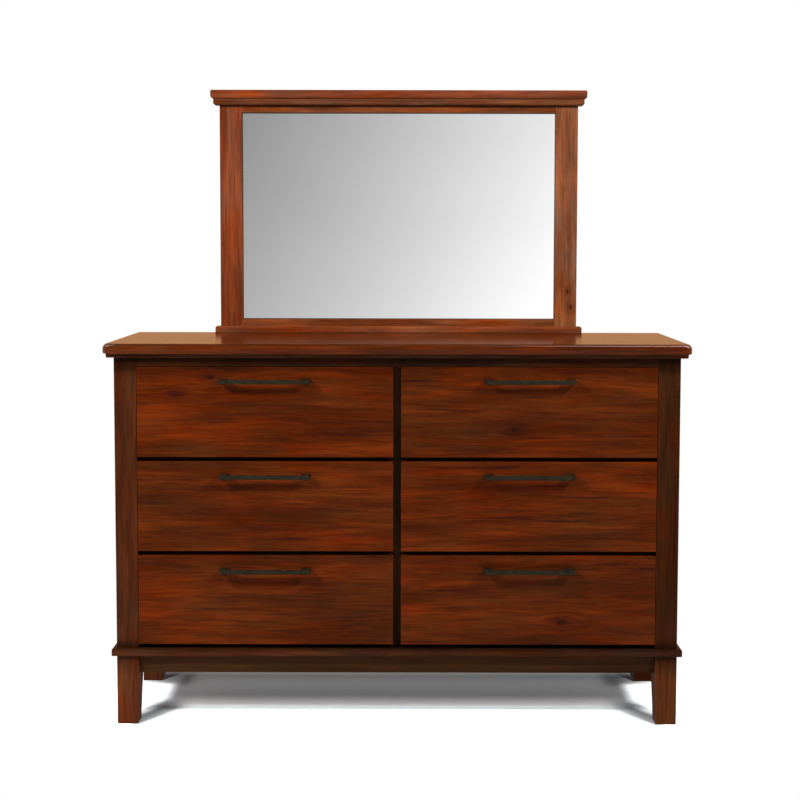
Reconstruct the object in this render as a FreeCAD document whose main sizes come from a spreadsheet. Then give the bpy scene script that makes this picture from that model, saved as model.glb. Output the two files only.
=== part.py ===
import FreeCAD, Part
import os
import re

# A dresser with six drawers and a framed mirror that stands on its top.
# X runs to the right, Y to the rear, Z up. The origin is on the floor, under the middle of the whole piece.

SIZES = {
    # Top slab and the moulding frame under it
    "top_width": 1534,
    "top_thickness": 27,
    "top_overhang": 29,
    "top_rear_overhang": 13,
    "top_corner_round": 38,
    "top_edge_round": 15,
    "top_lower_round": 4,
    "top_moulding_height": 10,
    "top_moulding_projection": 16,
    "top_moulding_round": 4,
    # Corner posts, whose lower ends are the feet
    "case_depth": 395,
    "post_width": 58,
    "post_depth": 58,
    "post_round": 4,
    "front_foot_taper_width": 3,
    "front_foot_taper_depth": 19,
    "rear_foot_taper_width": 4,
    "foot_round": 2.5,
    # Base: aprons, base moulding and bottom panel
    "base_height": 184.5,
    "apron_height": 50,
    "apron_thickness": 20,
    "apron_setback": 14,
    "base_moulding_height": 20,
    "base_moulding_projection": 11,
    "base_moulding_round": 4,
    "base_moulding_lower_round": 3.5,
    "bottom_panel_thickness": 18,
    # Panels and rails of the case
    "side_panel_thickness": 18,
    "side_panel_setback": 6,
    "back_panel_thickness": 6,
    "partition_thickness": 18,
    "top_rail_height": 23,
    "top_rail_thickness": 20,
    "top_rail_setback": 2,
    "row_rail_height": 22,
    "row_rail_depth": 60,
    "rail_front_gap": 2,
    "back_cleat_height": 90,
    # Drawer fronts and the gaps round them
    "front_height": 237,
    "front_thickness": 20,
    "front_round": 2.5,
    "front_side_gap": 0.8,
    "front_top_gap": 1.5,
    "front_row_gap": 11.5,
    "front_lowest_gap": 9,
    # Drawer boxes
    "box_rise": 20,
    "box_drop": 22.5,
    "box_rear_gap": 19,
    "box_side_thickness": 12,
    "box_end_thickness": 12,
    "box_bottom_thickness": 6,
    "box_bottom_rise": 12,
    "box_edge_round": 2,
    "groove_depth": 6,
    "groove_clearance": 0.3,
    # Drawer slides
    "slide_setback": 24,
    "slide_rear_gap": 20,
    "slide_height": 35,
    "slide_thickness": 12.7,
    "slide_sheet": 1.5,
    "slide_flange_gap": 1.8,
    "slide_running_gap": 0.3,
    "slide_rise": 70,
    # Bar pulls and their screws
    "pull_length": 236,
    "pull_height": 11,
    "pull_projection": 33,
    "pull_bar_thickness": 9,
    "pull_post_width": 24,
    "pull_drop": 36.5,
    "pull_round": 4,
    "pull_screw_radius": 2,
    "pull_screw_head_radius": 4,
    "pull_screw_head_height": 2.5,
    "pull_screw_grip": 15,
    "pull_hole_spare": 2,
    "screw_hole_clearance": 0.2,
    # Mirror frame, from its base to its cap
    "mirror_width": 1028,
    "mirror_thickness": 20,
    "mirror_stile_width": 63.5,
    "mirror_stile_height": 634,
    "mirror_lower_rail_height": 21,
    "mirror_upper_rail_height": 20,
    "mirror_frame_round": 3,
    "mirror_base_overhang": 15,
    "mirror_base_projection": 6,
    "mirror_base_height": 19,
    "mirror_base_round": 5,
    "cap_moulding_overhang": 16,
    "cap_moulding_projection": 14,
    "cap_moulding_height": 17.5,
    "cap_moulding_round": 6,
    "cap_overhang": 23,
    "cap_projection": 22,
    "cap_height": 24.5,
    "cap_upper_round": 5,
    "cap_lower_round": 8,
    # Glass and backing, in the rabbet of the frame
    "rabbet_width": 8,
    "rabbet_clearance": 0.5,
    "glass_thickness": 4,
    "backing_thickness": 6,
    # Support bars behind the mirror and their screws
    "support_width": 45,
    "support_thickness": 18,
    "support_length": 600,
    "support_round": 3,
    "support_screw_edge": 20,
    "support_screw_pitch": 45,
    "support_screw_radius": 2,
    "support_screw_head_radius": 4.5,
    "support_screw_head_height": 2.5,
    "support_screw_grip": 10,
    "support_screw_spare": 1,
    # How far a cut runs past the face that it opens, and the least step between two rounds that meet
    "cut_overrun": 1,
    "round_step": 1,
}

ROWS = ("bottom", "middle", "top")
COLUMNS = ("left", "right")

# Sizes and places that follow from the ones above. Each y place is in the frame of the whole piece.
DERIVED = {
    "case_width": "top_width - 2 * top_overhang",
    "case_half": "case_width / 2",
    "post_inner": "case_half - post_width",
    "foot_height": "base_height - apron_height",
    "top_depth": "top_overhang + case_depth + top_rear_overhang",
    "rear_reach": "case_depth + top_rear_overhang + support_thickness + support_screw_head_height",
    "front_y": "(pull_projection - rear_reach) / 2",
    "rear_y": "front_y + case_depth",
    "top_back_y": "rear_y + top_rear_overhang",
    "recess_y": "front_y + front_thickness + rail_front_gap",
    "back_inner_y": "rear_y - back_panel_thickness",
    "row_pitch": "front_height + front_row_gap",
    "lowest_front": "base_height + base_moulding_height + front_lowest_gap",
    "top_rail_base": f"lowest_front + {len(ROWS)} * row_pitch - front_row_gap + front_top_gap",
    "case_top": "top_rail_base + top_rail_height",
    "top_base": "case_top + top_moulding_height",
    "top_surface": "top_base + top_thickness",
    "top_moulding_depth": "top_moulding_projection + post_depth",
    "opening_width": "post_inner - partition_thickness / 2",
    "front_width": "opening_width - 2 * front_side_gap",
    "box_width": "opening_width - 2 * slide_thickness",
    "box_height": "front_height - box_rise - box_drop",
    "box_y": "front_y + front_thickness",
    "box_depth": "back_inner_y - box_rear_gap - box_y",
    "box_inner_width": "box_width - 2 * box_side_thickness",
    "box_back_rise": "box_bottom_rise + box_bottom_thickness",
    "groove_height": "box_bottom_thickness + groove_clearance",
    "groove_reach": "groove_depth - groove_clearance",
    "slide_y": "front_y + slide_setback",
    "slide_length": "back_inner_y - slide_rear_gap - slide_y",
    "slide_z": "box_rise + slide_rise",
    "slide_flange": "slide_thickness - slide_sheet - slide_flange_gap",
    "slide_member_inset": "slide_sheet + slide_running_gap",
    "slide_member_height": "slide_height - 2 * slide_member_inset",
    "pull_screw_length": "front_thickness + box_end_thickness + pull_screw_grip",
    "pull_hole_depth": "pull_screw_grip + pull_hole_spare",
    "pull_hole_radius": "pull_screw_radius + screw_hole_clearance",
    "pull_hole_spacing": "pull_length - pull_post_width",
    "pull_hole_z": "front_height - pull_drop",
    "mirror_y": "top_back_y - mirror_thickness",
    "mirror_foot": "top_surface + mirror_base_height",
    "mirror_base_width": "mirror_width + 2 * mirror_base_overhang",
    "mirror_base_depth": "mirror_thickness + mirror_base_projection",
    "cap_moulding_width": "mirror_width + 2 * cap_moulding_overhang",
    "cap_width": "mirror_width + 2 * cap_overhang",
    "mirror_head": "mirror_foot + mirror_stile_height",
    "mirror_opening": "mirror_width - 2 * mirror_stile_width",
    "mirror_light": "mirror_stile_height - mirror_lower_rail_height - mirror_upper_rail_height",
    "rabbet_depth": "glass_thickness + backing_thickness",
    "rabbet_y": "top_back_y - rabbet_depth",
    "pane_reach": "rabbet_width - rabbet_clearance",
    "pane_width": "mirror_opening + 2 * pane_reach",
    "pane_height": "mirror_light + 2 * pane_reach",
    "pane_z": "mirror_foot + mirror_lower_rail_height - pane_reach",
    "support_x": "mirror_width / 2 - mirror_stile_width / 2",
    "support_z": "top_base - back_cleat_height",
    "support_hole_radius": "support_screw_radius + screw_hole_clearance",
    "support_screw_length": "support_thickness + support_screw_grip",
    "support_hole_depth": "support_screw_grip + support_screw_spare",
}

# Heights of the four screws of a support bar, above its lower end
SUPPORT_SCREWS = {
    "lower": ("support_screw_edge", "support_screw_edge + support_screw_pitch"),
    "upper": (
        "support_length - support_screw_edge",
        "support_length - support_screw_edge - support_screw_pitch",
    ),
}

# How near an edge lies to a side of its piece, as a share of the piece's diagonal, to count as on it
TOUCH_SHARE = 1e-6

ALONG_Y = FreeCAD.Rotation(FreeCAD.Vector(1, 0, 0), -90)
UPRIGHT = FreeCAD.Rotation(FreeCAD.Vector(1, 0, 0), 90)
LEFT_RUN = FreeCAD.Rotation(FreeCAD.Vector(0, 0, 1), -90)

doc = FreeCAD.newDocument("Dresser")
sheet = doc.addObject("Spreadsheet::Sheet", "Sizes")
for row, (alias, value) in enumerate(SIZES.items(), start=1):
    sheet.set(f"A{row}", alias)
    sheet.set(f"B{row}", str(value))
    sheet.setAlias(f"B{row}", alias)
doc.recompute()

nodes = []


def expand(formula):
    """Writes a formula of plain size names as an expression on the cells of the sheet."""

    def cell(match):
        name = match.group()
        if name in SIZES:
            return "Sizes." + name
        if name in DERIVED:
            return "(" + expand(DERIVED[name]) + ")"
        return name

    return re.sub(r"[a-z]\w+", cell, formula)


def bind(feature, **formulas):
    """Ties properties of a feature to formulas of the sheet's sizes."""
    for name, formula in formulas.items():
        feature.setExpression(name, expand(formula))


def place(feature, x="0", y="0", z="0"):
    """Ties the place of a feature or body to formulas of the sheet's sizes."""
    for axis, formula in zip("xyz", (x, y, z)):
        feature.setExpression("Placement.Base." + axis, expand(formula))


def node(piece):
    """Counts a piece as a sub-part of its own, named by its label."""
    nodes.append(piece)
    return piece


def new_body(name):
    """Starts an empty body with a plain name."""
    body = doc.addObject("PartDesign::Body", name)
    body.Label = name
    return body


def board(name, length, depth, height, x, y, z):
    """A sawn board from its lowest corner: length along X, depth along Y, height along Z."""
    body = new_body(name)
    blank = body.newObject("PartDesign::AdditiveBox", name + "_blank")
    bind(blank, Length=length, Width=depth, Height=height)
    place(body, x, y, z)
    return body


def mitred_strip(name, length, depth, height, left_cut, right_cut):
    """A strip whose outer side is its front face, cut back at each end on its inner side."""
    body = new_body(name)
    strip = body.newObject("PartDesign::AdditiveWedge", name + "_strip")
    bind(strip, Xmin="0", Xmax=length, X2min=left_cut, X2max=f"{length} - {right_cut}")
    bind(strip, Ymin="0", Ymax=depth, Zmin="0", Zmax=height, Z2min="0", Z2max=height)
    return body


def cut_box(body, length, depth, height, x, y, z):
    """Cuts a square-sided groove, rabbet or slot, placed in the body's own frame."""
    groove = body.newObject("PartDesign::SubtractiveBox", body.Name + "_cut")
    bind(groove, Length=length, Width=depth, Height=height)
    place(groove, x, y, z)


def bore(body, radius, length, x, y, z):
    """Bores a round hole along Y, from its front end, placed in the body's own frame."""
    hole = body.newObject("PartDesign::SubtractiveCylinder", body.Name + "_bore")
    hole.Placement = FreeCAD.Placement(FreeCAD.Vector(), ALONG_Y)
    bind(hole, Radius=radius, Height=length)
    place(hole, x, y, z)


def rod(body, radius, length, y):
    """Adds a round length along Y to a screw."""
    round_bar = body.newObject("PartDesign::AdditiveCylinder", body.Name + "_rod")
    round_bar.Placement = FreeCAD.Placement(FreeCAD.Vector(), ALONG_Y)
    bind(round_bar, Radius=radius, Height=length)
    place(round_bar, "0", y, "0")


def lies_on(edge, box, side):
    """Says if an edge lies on one named side of the box round its shape."""
    axis, limit = {
        "left": ("x", box.XMin),
        "right": ("x", box.XMax),
        "front": ("y", box.YMin),
        "back": ("y", box.YMax),
        "bottom": ("z", box.ZMin),
        "top": ("z", box.ZMax),
    }[side]
    reach = box.DiagonalLength * TOUCH_SHARE
    return all(abs(getattr(vertex.Point, axis) - limit) < reach for vertex in edge.Vertexes)


def round_edges(body, radius, *corners, spare=()):
    """Rounds each edge that lies on all the named sides of a corner, and on none of the spared ones."""
    doc.recompute()
    base = body.Tip
    box = base.Shape.BoundBox
    picked = [
        f"Edge{number}"
        for number, edge in enumerate(base.Shape.Edges, start=1)
        if any(all(lies_on(edge, box, side) for side in corner) for corner in corners)
        and not any(lies_on(edge, box, side) for side in spare)
    ]
    fillet = body.newObject("PartDesign::Fillet", body.Name + "_round")
    fillet.Base = (base, picked)
    bind(fillet, Radius=radius)


def channel(name, height, x, y, z):
    """A rolled steel channel along Y, with its web on the left and its flanges to the right."""
    body = board(name, "slide_flange", "slide_length", height, x, y, z)
    cut_box(
        body, "slide_flange + cut_overrun", "slide_length + 2 * cut_overrun", f"{height} - 2 * slide_sheet",
        "slide_sheet", "-cut_overrun", "slide_sheet",
    )
    return body


def mirrored(source, name, x=None, y=None):
    """The other hand of a piece, across an upright plane at a place along X or along Y."""
    twin = doc.addObject("Part::Mirroring", name)
    twin.Label = name
    twin.Source = source
    axis, formula = ("x", x) if x is not None else ("y", y)
    twin.Normal = FreeCAD.Vector(1, 0, 0) if axis == "x" else FreeCAD.Vector(0, 1, 0)
    twin.setExpression("Base." + axis, expand(formula))
    return twin


def group(name, members):
    """Several separate pieces of one kind, kept under one name."""
    bundle = doc.addObject("Part::Compound", name)
    bundle.Label = name
    bundle.Links = members
    return bundle


def make_top():
    """The slab, with its corners and front and side edges rounded."""
    slab = board(
        "top_panel", "top_width", "top_depth", "top_thickness",
        "-top_width / 2", "front_y - top_overhang", "top_base",
    )
    round_edges(slab, "top_corner_round", ("front", "left"), ("front", "right"))
    round_edges(slab, "min(top_edge_round; top_corner_round - round_step)", ("top",), spare=("back",))
    round_edges(slab, "top_lower_round", ("bottom",), spare=("back",))
    node(slab)


def make_top_moulding():
    """The frame between the posts and the slab: mitred at the front corners, butted at the rear."""
    length = "(case_width + 2 * top_moulding_projection)"
    run = "(case_depth + top_moulding_projection)"
    shape = ("top_moulding_depth", "top_moulding_height")
    front = mitred_strip("top_moulding_front", length, *shape, "top_moulding_depth", "top_moulding_depth")
    place(front, f"-{length} / 2", "front_y - top_moulding_projection", "case_top")
    round_edges(front, "top_moulding_round", ("front", "bottom"))
    left = mitred_strip("top_moulding_left", run, *shape, "0", "top_moulding_depth")
    left.Placement = FreeCAD.Placement(FreeCAD.Vector(), LEFT_RUN)
    place(left, f"-{length} / 2", "rear_y", "case_top")
    round_edges(left, "top_moulding_round", ("front", "bottom"))
    right = mirrored(left, "top_moulding_right", x="0")
    rear = board(
        "top_moulding_rear", "2 * post_inner", "post_depth", "top_moulding_height",
        "-post_inner", "rear_y - post_depth", "case_top",
    )
    node(group("top_moulding", [front, left, right, rear]))


def tapered_post(name, taper_width, taper_depth, y, outer):
    """A left post from the floor to the top. Its foot tapers on the sides that face the other posts."""
    post = new_body(name)
    shaft = post.newObject("PartDesign::AdditiveBox", name + "_shaft")
    bind(shaft, Length="post_width", Width="post_depth", Height="case_top - foot_height")
    place(shaft, "0", "0", "foot_height")
    foot = post.newObject("PartDesign::AdditiveWedge", name + "_foot")
    foot.Placement = FreeCAD.Placement(FreeCAD.Vector(), UPRIGHT)
    bind(foot, Ymin="0", Ymax="foot_height")
    bind(foot, Xmin="0", Xmax=f"post_width - {taper_width}", X2min="0", X2max="post_width")
    bind(foot, Zmin=f"{taper_depth} - post_depth", Zmax="0", Z2min="-post_depth", Z2max="0")
    place(post, "-case_half", y, "0")
    round_edges(post, "post_round", (outer, "left"))
    round_edges(post, "min(foot_round; post_round - round_step)", ("bottom",))
    return post


def make_posts():
    """Four posts from the top to the floor, whose feet start under the aprons."""
    front = tapered_post(
        "front_left_post", "front_foot_taper_width", "front_foot_taper_depth", "front_y", "front",
    )
    node(group("front_posts", [front, mirrored(front, "front_right_post", x="0")]))
    rear = tapered_post("rear_left_post", "rear_foot_taper_width", "0", "rear_y - post_depth", "back")
    node(group("rear_posts", [rear, mirrored(rear, "rear_right_post", x="0")]))


def make_base():
    """Base moulding round the posts, aprons under it and the bottom panel behind it."""
    length = "(case_width + 2 * base_moulding_projection)"
    run = "(case_depth + base_moulding_projection)"
    shape = ("base_moulding_projection", "base_moulding_height")
    front = mitred_strip("base_moulding_front", length, *shape, shape[0], shape[0])
    place(front, f"-{length} / 2", "front_y - base_moulding_projection", "base_height")
    round_edges(front, "base_moulding_round", ("front", "top"))
    round_edges(front, "base_moulding_lower_round", ("front", "bottom"))
    left = mitred_strip("base_moulding_left", run, *shape, "0", shape[0])
    left.Placement = FreeCAD.Placement(FreeCAD.Vector(), LEFT_RUN)
    place(left, f"-{length} / 2", "rear_y", "base_height")
    round_edges(left, "base_moulding_round", ("front", "top"))
    round_edges(left, "base_moulding_lower_round", ("front", "bottom"))
    right = mirrored(left, "base_moulding_right", x="0")
    node(group("base_moulding", [front, left, right]))

    front_apron = board(
        "front_apron", "2 * post_inner", "apron_thickness", "apron_height",
        "-post_inner", "front_y + apron_setback", "foot_height",
    )
    rear_apron = mirrored(front_apron, "rear_apron", y="front_y + case_depth / 2")
    left_apron = board(
        "left_apron", "apron_thickness", "case_depth - 2 * post_depth", "apron_height",
        "-case_half + apron_setback", "front_y + post_depth", "foot_height",
    )
    right_apron = mirrored(left_apron, "right_apron", x="0")
    node(group("aprons", [front_apron, rear_apron, left_apron, right_apron]))
    node(board(
        "bottom_panel", "2 * post_inner", "case_depth - back_panel_thickness", "bottom_panel_thickness",
        "-post_inner", "front_y", "base_height",
    ))


def make_panels():
    """Side panels between the posts, the back panel, the partition and the cleat under the overhang."""
    left = board(
        "left_side_panel", "side_panel_thickness", "case_depth - 2 * post_depth", "case_top - base_height",
        "-case_half + side_panel_setback", "front_y + post_depth", "base_height",
    )
    node(left)
    node(mirrored(left, "right_side_panel", x="0"))
    node(board(
        "back_panel", "2 * post_inner", "back_panel_thickness", "case_top - base_height",
        "-post_inner", "back_inner_y", "base_height",
    ))
    node(board(
        "centre_partition", "partition_thickness", "back_inner_y - recess_y",
        "case_top - base_height - bottom_panel_thickness",
        "-partition_thickness / 2", "recess_y", "base_height + bottom_panel_thickness",
    ))
    cleat = board(
        "back_cleat", "2 * post_inner", "top_rear_overhang", "back_cleat_height",
        "-post_inner", "rear_y", "support_z",
    )
    for side in ("-support_x", "support_x"):
        for height in SUPPORT_SCREWS["lower"]:
            bore(
                cleat, "support_hole_radius", "support_hole_depth + cut_overrun",
                f"post_inner + {side}", "top_rear_overhang - support_hole_depth", height,
            )
    node(cleat)


def make_rails():
    """The rail under the top, and the rails behind the gaps between the drawer rows."""
    node(board(
        "top_rail", "2 * post_inner", "top_rail_thickness", "top_rail_height",
        "-post_inner", "front_y + top_rail_setback", "top_rail_base",
    ))
    rails = []
    for gap in range(1, len(ROWS)):
        height = f"lowest_front + {gap} * row_pitch - (front_row_gap + row_rail_height) / 2"
        left = board(
            f"left_row_rail_{gap}", "opening_width", "row_rail_depth", "row_rail_height",
            "-post_inner", "recess_y", height,
        )
        rails += [left, mirrored(left, f"right_row_rail_{gap}", x="0")]
    node(group("row_rails", rails))


def make_drawer_box(name, opening_x, base_z):
    """Sides, inner front, back and bottom of one drawer box."""
    left_x = f"{opening_x} + slide_thickness"
    centre = f"{opening_x} + opening_width / 2"
    inner_x = f"{left_x} + box_side_thickness"
    box_z = f"{base_z} + box_rise"
    side = board(
        name + "_left_side", "box_side_thickness", "box_depth", "box_height", left_x, "box_y", box_z,
    )
    cut_box(
        side, "groove_depth + cut_overrun", "box_depth + 2 * cut_overrun", "groove_height",
        "box_side_thickness - groove_depth", "-cut_overrun", "box_bottom_rise",
    )
    round_edges(side, "box_edge_round", ("left", "top"), ("right", "top"))
    node(group(name + "_sides", [side, mirrored(side, name + "_right_side", x=centre)]))

    inner_front = board(
        name + "_inner_front", "box_inner_width", "box_end_thickness", "box_height", inner_x, "box_y", box_z,
    )
    cut_box(
        inner_front, "box_inner_width + 2 * cut_overrun", "groove_depth + cut_overrun", "groove_height",
        "-cut_overrun", "box_end_thickness - groove_depth", "box_bottom_rise",
    )
    for side_sign in ("-", "+"):
        bore(
            inner_front, "pull_hole_radius", "box_end_thickness + 2 * cut_overrun",
            f"(box_inner_width {side_sign} pull_hole_spacing) / 2", "-cut_overrun", "pull_hole_z - box_rise",
        )
    back = board(
        name + "_back", "box_inner_width", "box_end_thickness", "box_height - box_back_rise",
        inner_x, "box_y + box_depth - box_end_thickness", f"{box_z} + box_back_rise",
    )
    node(group(name + "_ends", [inner_front, back]))

    node(board(
        name + "_bottom", "box_inner_width + 2 * groove_reach",
        "box_depth - box_end_thickness + groove_reach", "box_bottom_thickness",
        f"{inner_x} - groove_reach", "box_y + box_end_thickness - groove_reach", f"{box_z} + box_bottom_rise",
    ))


def make_drawer_front(name, opening_x, base_z):
    """The flat front with eased edges, bored for the screws of its pull."""
    front = board(
        name + "_front", "front_width", "front_thickness", "front_height",
        f"{opening_x} + front_side_gap", "front_y", base_z,
    )
    eased = (("front", "left"), ("front", "right"), ("front", "top"), ("front", "bottom"))
    round_edges(front, "front_round", *eased)
    for side_sign in ("-", "+"):
        bore(
            front, "pull_hole_radius", "front_thickness + 2 * cut_overrun",
            f"(front_width {side_sign} pull_hole_spacing) / 2", "-cut_overrun", "pull_hole_z",
        )
    node(front)


def make_pull(name, opening_x, base_z):
    """One cast bar pull with its two posts, and the two screws that hold it from inside the drawer."""
    centre = f"{opening_x} + opening_width / 2"
    hole_z = f"{base_z} + pull_hole_z"
    pull = board(
        name + "_pull_bar", "pull_length", "pull_projection", "pull_height",
        f"{centre} - pull_length / 2", "front_y - pull_projection", f"{hole_z} - pull_height / 2",
    )
    cut_box(
        pull, "pull_length - 2 * pull_post_width", "pull_projection", "pull_height + 2 * cut_overrun",
        "pull_post_width", "pull_bar_thickness", "-cut_overrun",
    )
    round_edges(pull, "pull_round", ("front", "left"), ("front", "right"))
    screws = []
    for number, side_sign in enumerate(("-", "+"), start=1):
        bore(
            pull, "pull_hole_radius", "pull_hole_depth + cut_overrun",
            f"(pull_length {side_sign} pull_hole_spacing) / 2", "pull_projection - pull_hole_depth",
            "pull_height / 2",
        )
        screw = new_body(f"{name}_pull_screw_{number}")
        rod(screw, "pull_screw_radius", "pull_screw_length", "-pull_screw_length")
        rod(screw, "pull_screw_head_radius", "pull_screw_head_height", "0")
        place(screw, f"{centre} {side_sign} pull_hole_spacing / 2", "box_y + box_end_thickness", hole_z)
        screws.append(screw)
    node(group(name + "_pull", [pull] + screws))


def make_slides(name, opening_x, base_z):
    """The two members on the drawer, and the two rails on the case that they run in."""
    centre = f"{opening_x} + opening_width / 2"
    rail_z = f"{base_z} + slide_z"
    rail = channel(name + "_left_rail", "slide_height", opening_x, "slide_y", rail_z)
    rails = [rail, mirrored(rail, name + "_right_rail", x=centre)]
    member = channel(
        name + "_right_member", "slide_member_height", f"{opening_x} + opening_width - slide_thickness",
        "slide_y", f"{rail_z} + slide_member_inset",
    )
    node(group(name + "_slides", [member, mirrored(member, name + "_left_member", x=centre)]))
    return rails


def make_drawers():
    """Six alike drawers, in rows from the bottom up and in two columns."""
    slide_rails = []
    for column, opening_x in zip(COLUMNS, ("-post_inner", "partition_thickness / 2")):
        for level, row_name in enumerate(ROWS):
            name = f"{row_name}_{column}_drawer"
            base_z = f"lowest_front + {level} * row_pitch"
            make_drawer_front(name, opening_x, base_z)
            make_drawer_box(name, opening_x, base_z)
            make_pull(name, opening_x, base_z)
            slide_rails += make_slides(name, opening_x, base_z)
    node(group("slide_rails", slide_rails))


def make_mirror_frame():
    """Two stiles with the rails between them, all rabbeted at the back for the glass."""
    stile = board(
        "mirror_left_stile", "mirror_stile_width", "mirror_thickness", "mirror_stile_height",
        "-mirror_width / 2", "mirror_y", "mirror_foot",
    )
    cut_box(
        stile, "rabbet_width + cut_overrun", "rabbet_depth + cut_overrun", "mirror_light + 2 * rabbet_width",
        "mirror_stile_width - rabbet_width", "mirror_thickness - rabbet_depth",
        "mirror_lower_rail_height - rabbet_width",
    )
    for height in SUPPORT_SCREWS["upper"]:
        bore(
            stile, "support_hole_radius", "support_hole_depth + cut_overrun",
            "mirror_stile_width / 2", "mirror_thickness - support_hole_depth",
            f"support_z - mirror_foot + {height}",
        )
    round_edges(stile, "mirror_frame_round", ("front", "left"))
    node(group("mirror_stiles", [stile, mirrored(stile, "mirror_right_stile", x="0")]))

    rails = []
    for name, height, base_z, cut_z in (
        ("lower", "mirror_lower_rail_height", "mirror_foot", "mirror_lower_rail_height - rabbet_width"),
        ("upper", "mirror_upper_rail_height", "mirror_head - mirror_upper_rail_height", "-cut_overrun"),
    ):
        rail = board(
            f"mirror_{name}_rail", "mirror_opening", "mirror_thickness", height,
            "-mirror_opening / 2", "mirror_y", base_z,
        )
        cut_box(
            rail, "mirror_opening + 2 * cut_overrun", "rabbet_depth + cut_overrun",
            "rabbet_width + cut_overrun", "-cut_overrun", "mirror_thickness - rabbet_depth", cut_z,
        )
        rails.append(rail)
    node(group("mirror_rails", rails))


def make_mirror_panes():
    """The silvered glass and the board behind it, in the rabbet of the frame."""
    node(board(
        "mirror_glass", "pane_width", "glass_thickness", "pane_height",
        "-pane_width / 2", "rabbet_y", "pane_z",
    ))
    node(board(
        "mirror_backing", "pane_width", "backing_thickness", "pane_height",
        "-pane_width / 2", "rabbet_y + glass_thickness", "pane_z",
    ))


def make_mirror_mouldings():
    """The base under the mirror, and the moulding and cap over it."""
    base = board(
        "mirror_base", "mirror_base_width", "mirror_base_depth", "mirror_base_height",
        "-mirror_base_width / 2", "top_back_y - mirror_base_depth", "top_surface",
    )
    round_edges(base, "mirror_base_round", ("front", "top"), ("left", "top"), ("right", "top"))
    node(base)
    moulding = board(
        "mirror_cap_moulding", "cap_moulding_width", "mirror_thickness + cap_moulding_projection",
        "cap_moulding_height", "-cap_moulding_width / 2", "mirror_y - cap_moulding_projection", "mirror_head",
    )
    round_edges(moulding, "cap_moulding_round", ("front", "bottom"), ("left", "bottom"), ("right", "bottom"))
    node(moulding)
    cap = board(
        "mirror_cap", "cap_width", "mirror_thickness + cap_projection", "cap_height",
        "-cap_width / 2", "mirror_y - cap_projection", "mirror_head + cap_moulding_height",
    )
    round_edges(cap, "cap_upper_round", ("front", "top"), ("left", "top"), ("right", "top"))
    round_edges(cap, "cap_lower_round", ("front", "bottom"), ("left", "bottom"), ("right", "bottom"))
    node(cap)


def make_supports():
    """Two bars that hold the mirror to the back of the case, and the screws through them."""
    bar = board(
        "mirror_left_support", "support_width", "support_thickness", "support_length",
        "-support_x - support_width / 2", "top_back_y", "support_z",
    )
    round_edges(bar, "support_round", ("back", "left"), ("back", "right"), ("back", "top"))
    heights = SUPPORT_SCREWS["lower"] + SUPPORT_SCREWS["upper"]
    for height in heights:
        bore(
            bar, "support_hole_radius", "support_thickness + 2 * cut_overrun",
            "support_width / 2", "-cut_overrun", height,
        )
    node(group("mirror_supports", [bar, mirrored(bar, "mirror_right_support", x="0")]))
    screws = []
    for side_name, x in (("left", "-support_x"), ("right", "support_x")):
        for number, height in enumerate(heights, start=1):
            screw = new_body(f"{side_name}_support_screw_{number}")
            rod(screw, "support_screw_radius", "support_screw_length", "-support_screw_length")
            rod(screw, "support_screw_head_radius", "support_screw_head_height", "0")
            place(screw, x, "top_back_y + support_thickness", f"support_z + {height}")
            screws.append(screw)
    node(group("support_screws", screws))


make_top()
make_top_moulding()
make_posts()
make_base()
make_panels()
make_rails()
make_drawers()
make_mirror_frame()
make_mirror_panes()
make_mirror_mouldings()
make_supports()
doc.recompute()

# Nothing is written unless every feature is sound.
for feature in doc.Objects:
    faults = {"Invalid", "Error"} & set(feature.State)
    if faults:
        raise RuntimeError(f"{feature.Label} failed: {feature.State}")
for piece in nodes:
    if piece.Shape.isNull() or not piece.Shape.isValid() or not piece.Shape.Solids:
        raise RuntimeError(f"{piece.Label} has no sound solid")

os.makedirs("parts", exist_ok=True)
for piece in nodes:
    piece.Shape.exportStep(f"parts/{piece.Label}.step")
whole = Part.makeCompound([piece.Shape for piece in nodes])
print(len(nodes), "sub-parts,", len(whole.Solids), "solids,", whole.BoundBox)
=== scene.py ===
# %% [markdown]
# # A six-drawer dresser with a mirror
#
# This lesson dresses a finished CAD model: the boards are already cut and placed, and
# Blender gives them stain, lacquer, grain, hardware and light. Each cell makes one thing
# and says how a maker would think about it. All lengths are in metres, with the floor at
# zero height, the front of the dresser towards minus Y and the right end towards plus X.

# %% Load the frame
import math

import bmesh
import bpy
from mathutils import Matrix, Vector


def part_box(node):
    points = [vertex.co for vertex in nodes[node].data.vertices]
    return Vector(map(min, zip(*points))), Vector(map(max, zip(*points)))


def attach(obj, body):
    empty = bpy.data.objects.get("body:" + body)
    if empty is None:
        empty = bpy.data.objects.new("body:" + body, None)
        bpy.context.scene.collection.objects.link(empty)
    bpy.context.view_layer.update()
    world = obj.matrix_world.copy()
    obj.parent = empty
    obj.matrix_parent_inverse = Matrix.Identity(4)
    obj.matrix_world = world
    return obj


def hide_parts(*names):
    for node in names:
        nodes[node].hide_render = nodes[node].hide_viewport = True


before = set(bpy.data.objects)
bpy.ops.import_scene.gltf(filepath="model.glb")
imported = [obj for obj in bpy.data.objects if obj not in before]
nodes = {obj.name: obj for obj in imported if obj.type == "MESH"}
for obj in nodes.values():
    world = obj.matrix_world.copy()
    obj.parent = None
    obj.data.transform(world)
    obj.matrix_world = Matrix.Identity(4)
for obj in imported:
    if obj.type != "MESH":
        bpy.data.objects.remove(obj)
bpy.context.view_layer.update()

# %% [markdown]
# Node trees are easier to read when a step is one line. `put` adds a node, sets its options
# and fills its inputs, either with a value or with another node's output. Many nodes have
# several sockets of one name for different data types, so `put` picks the one in use.

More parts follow.
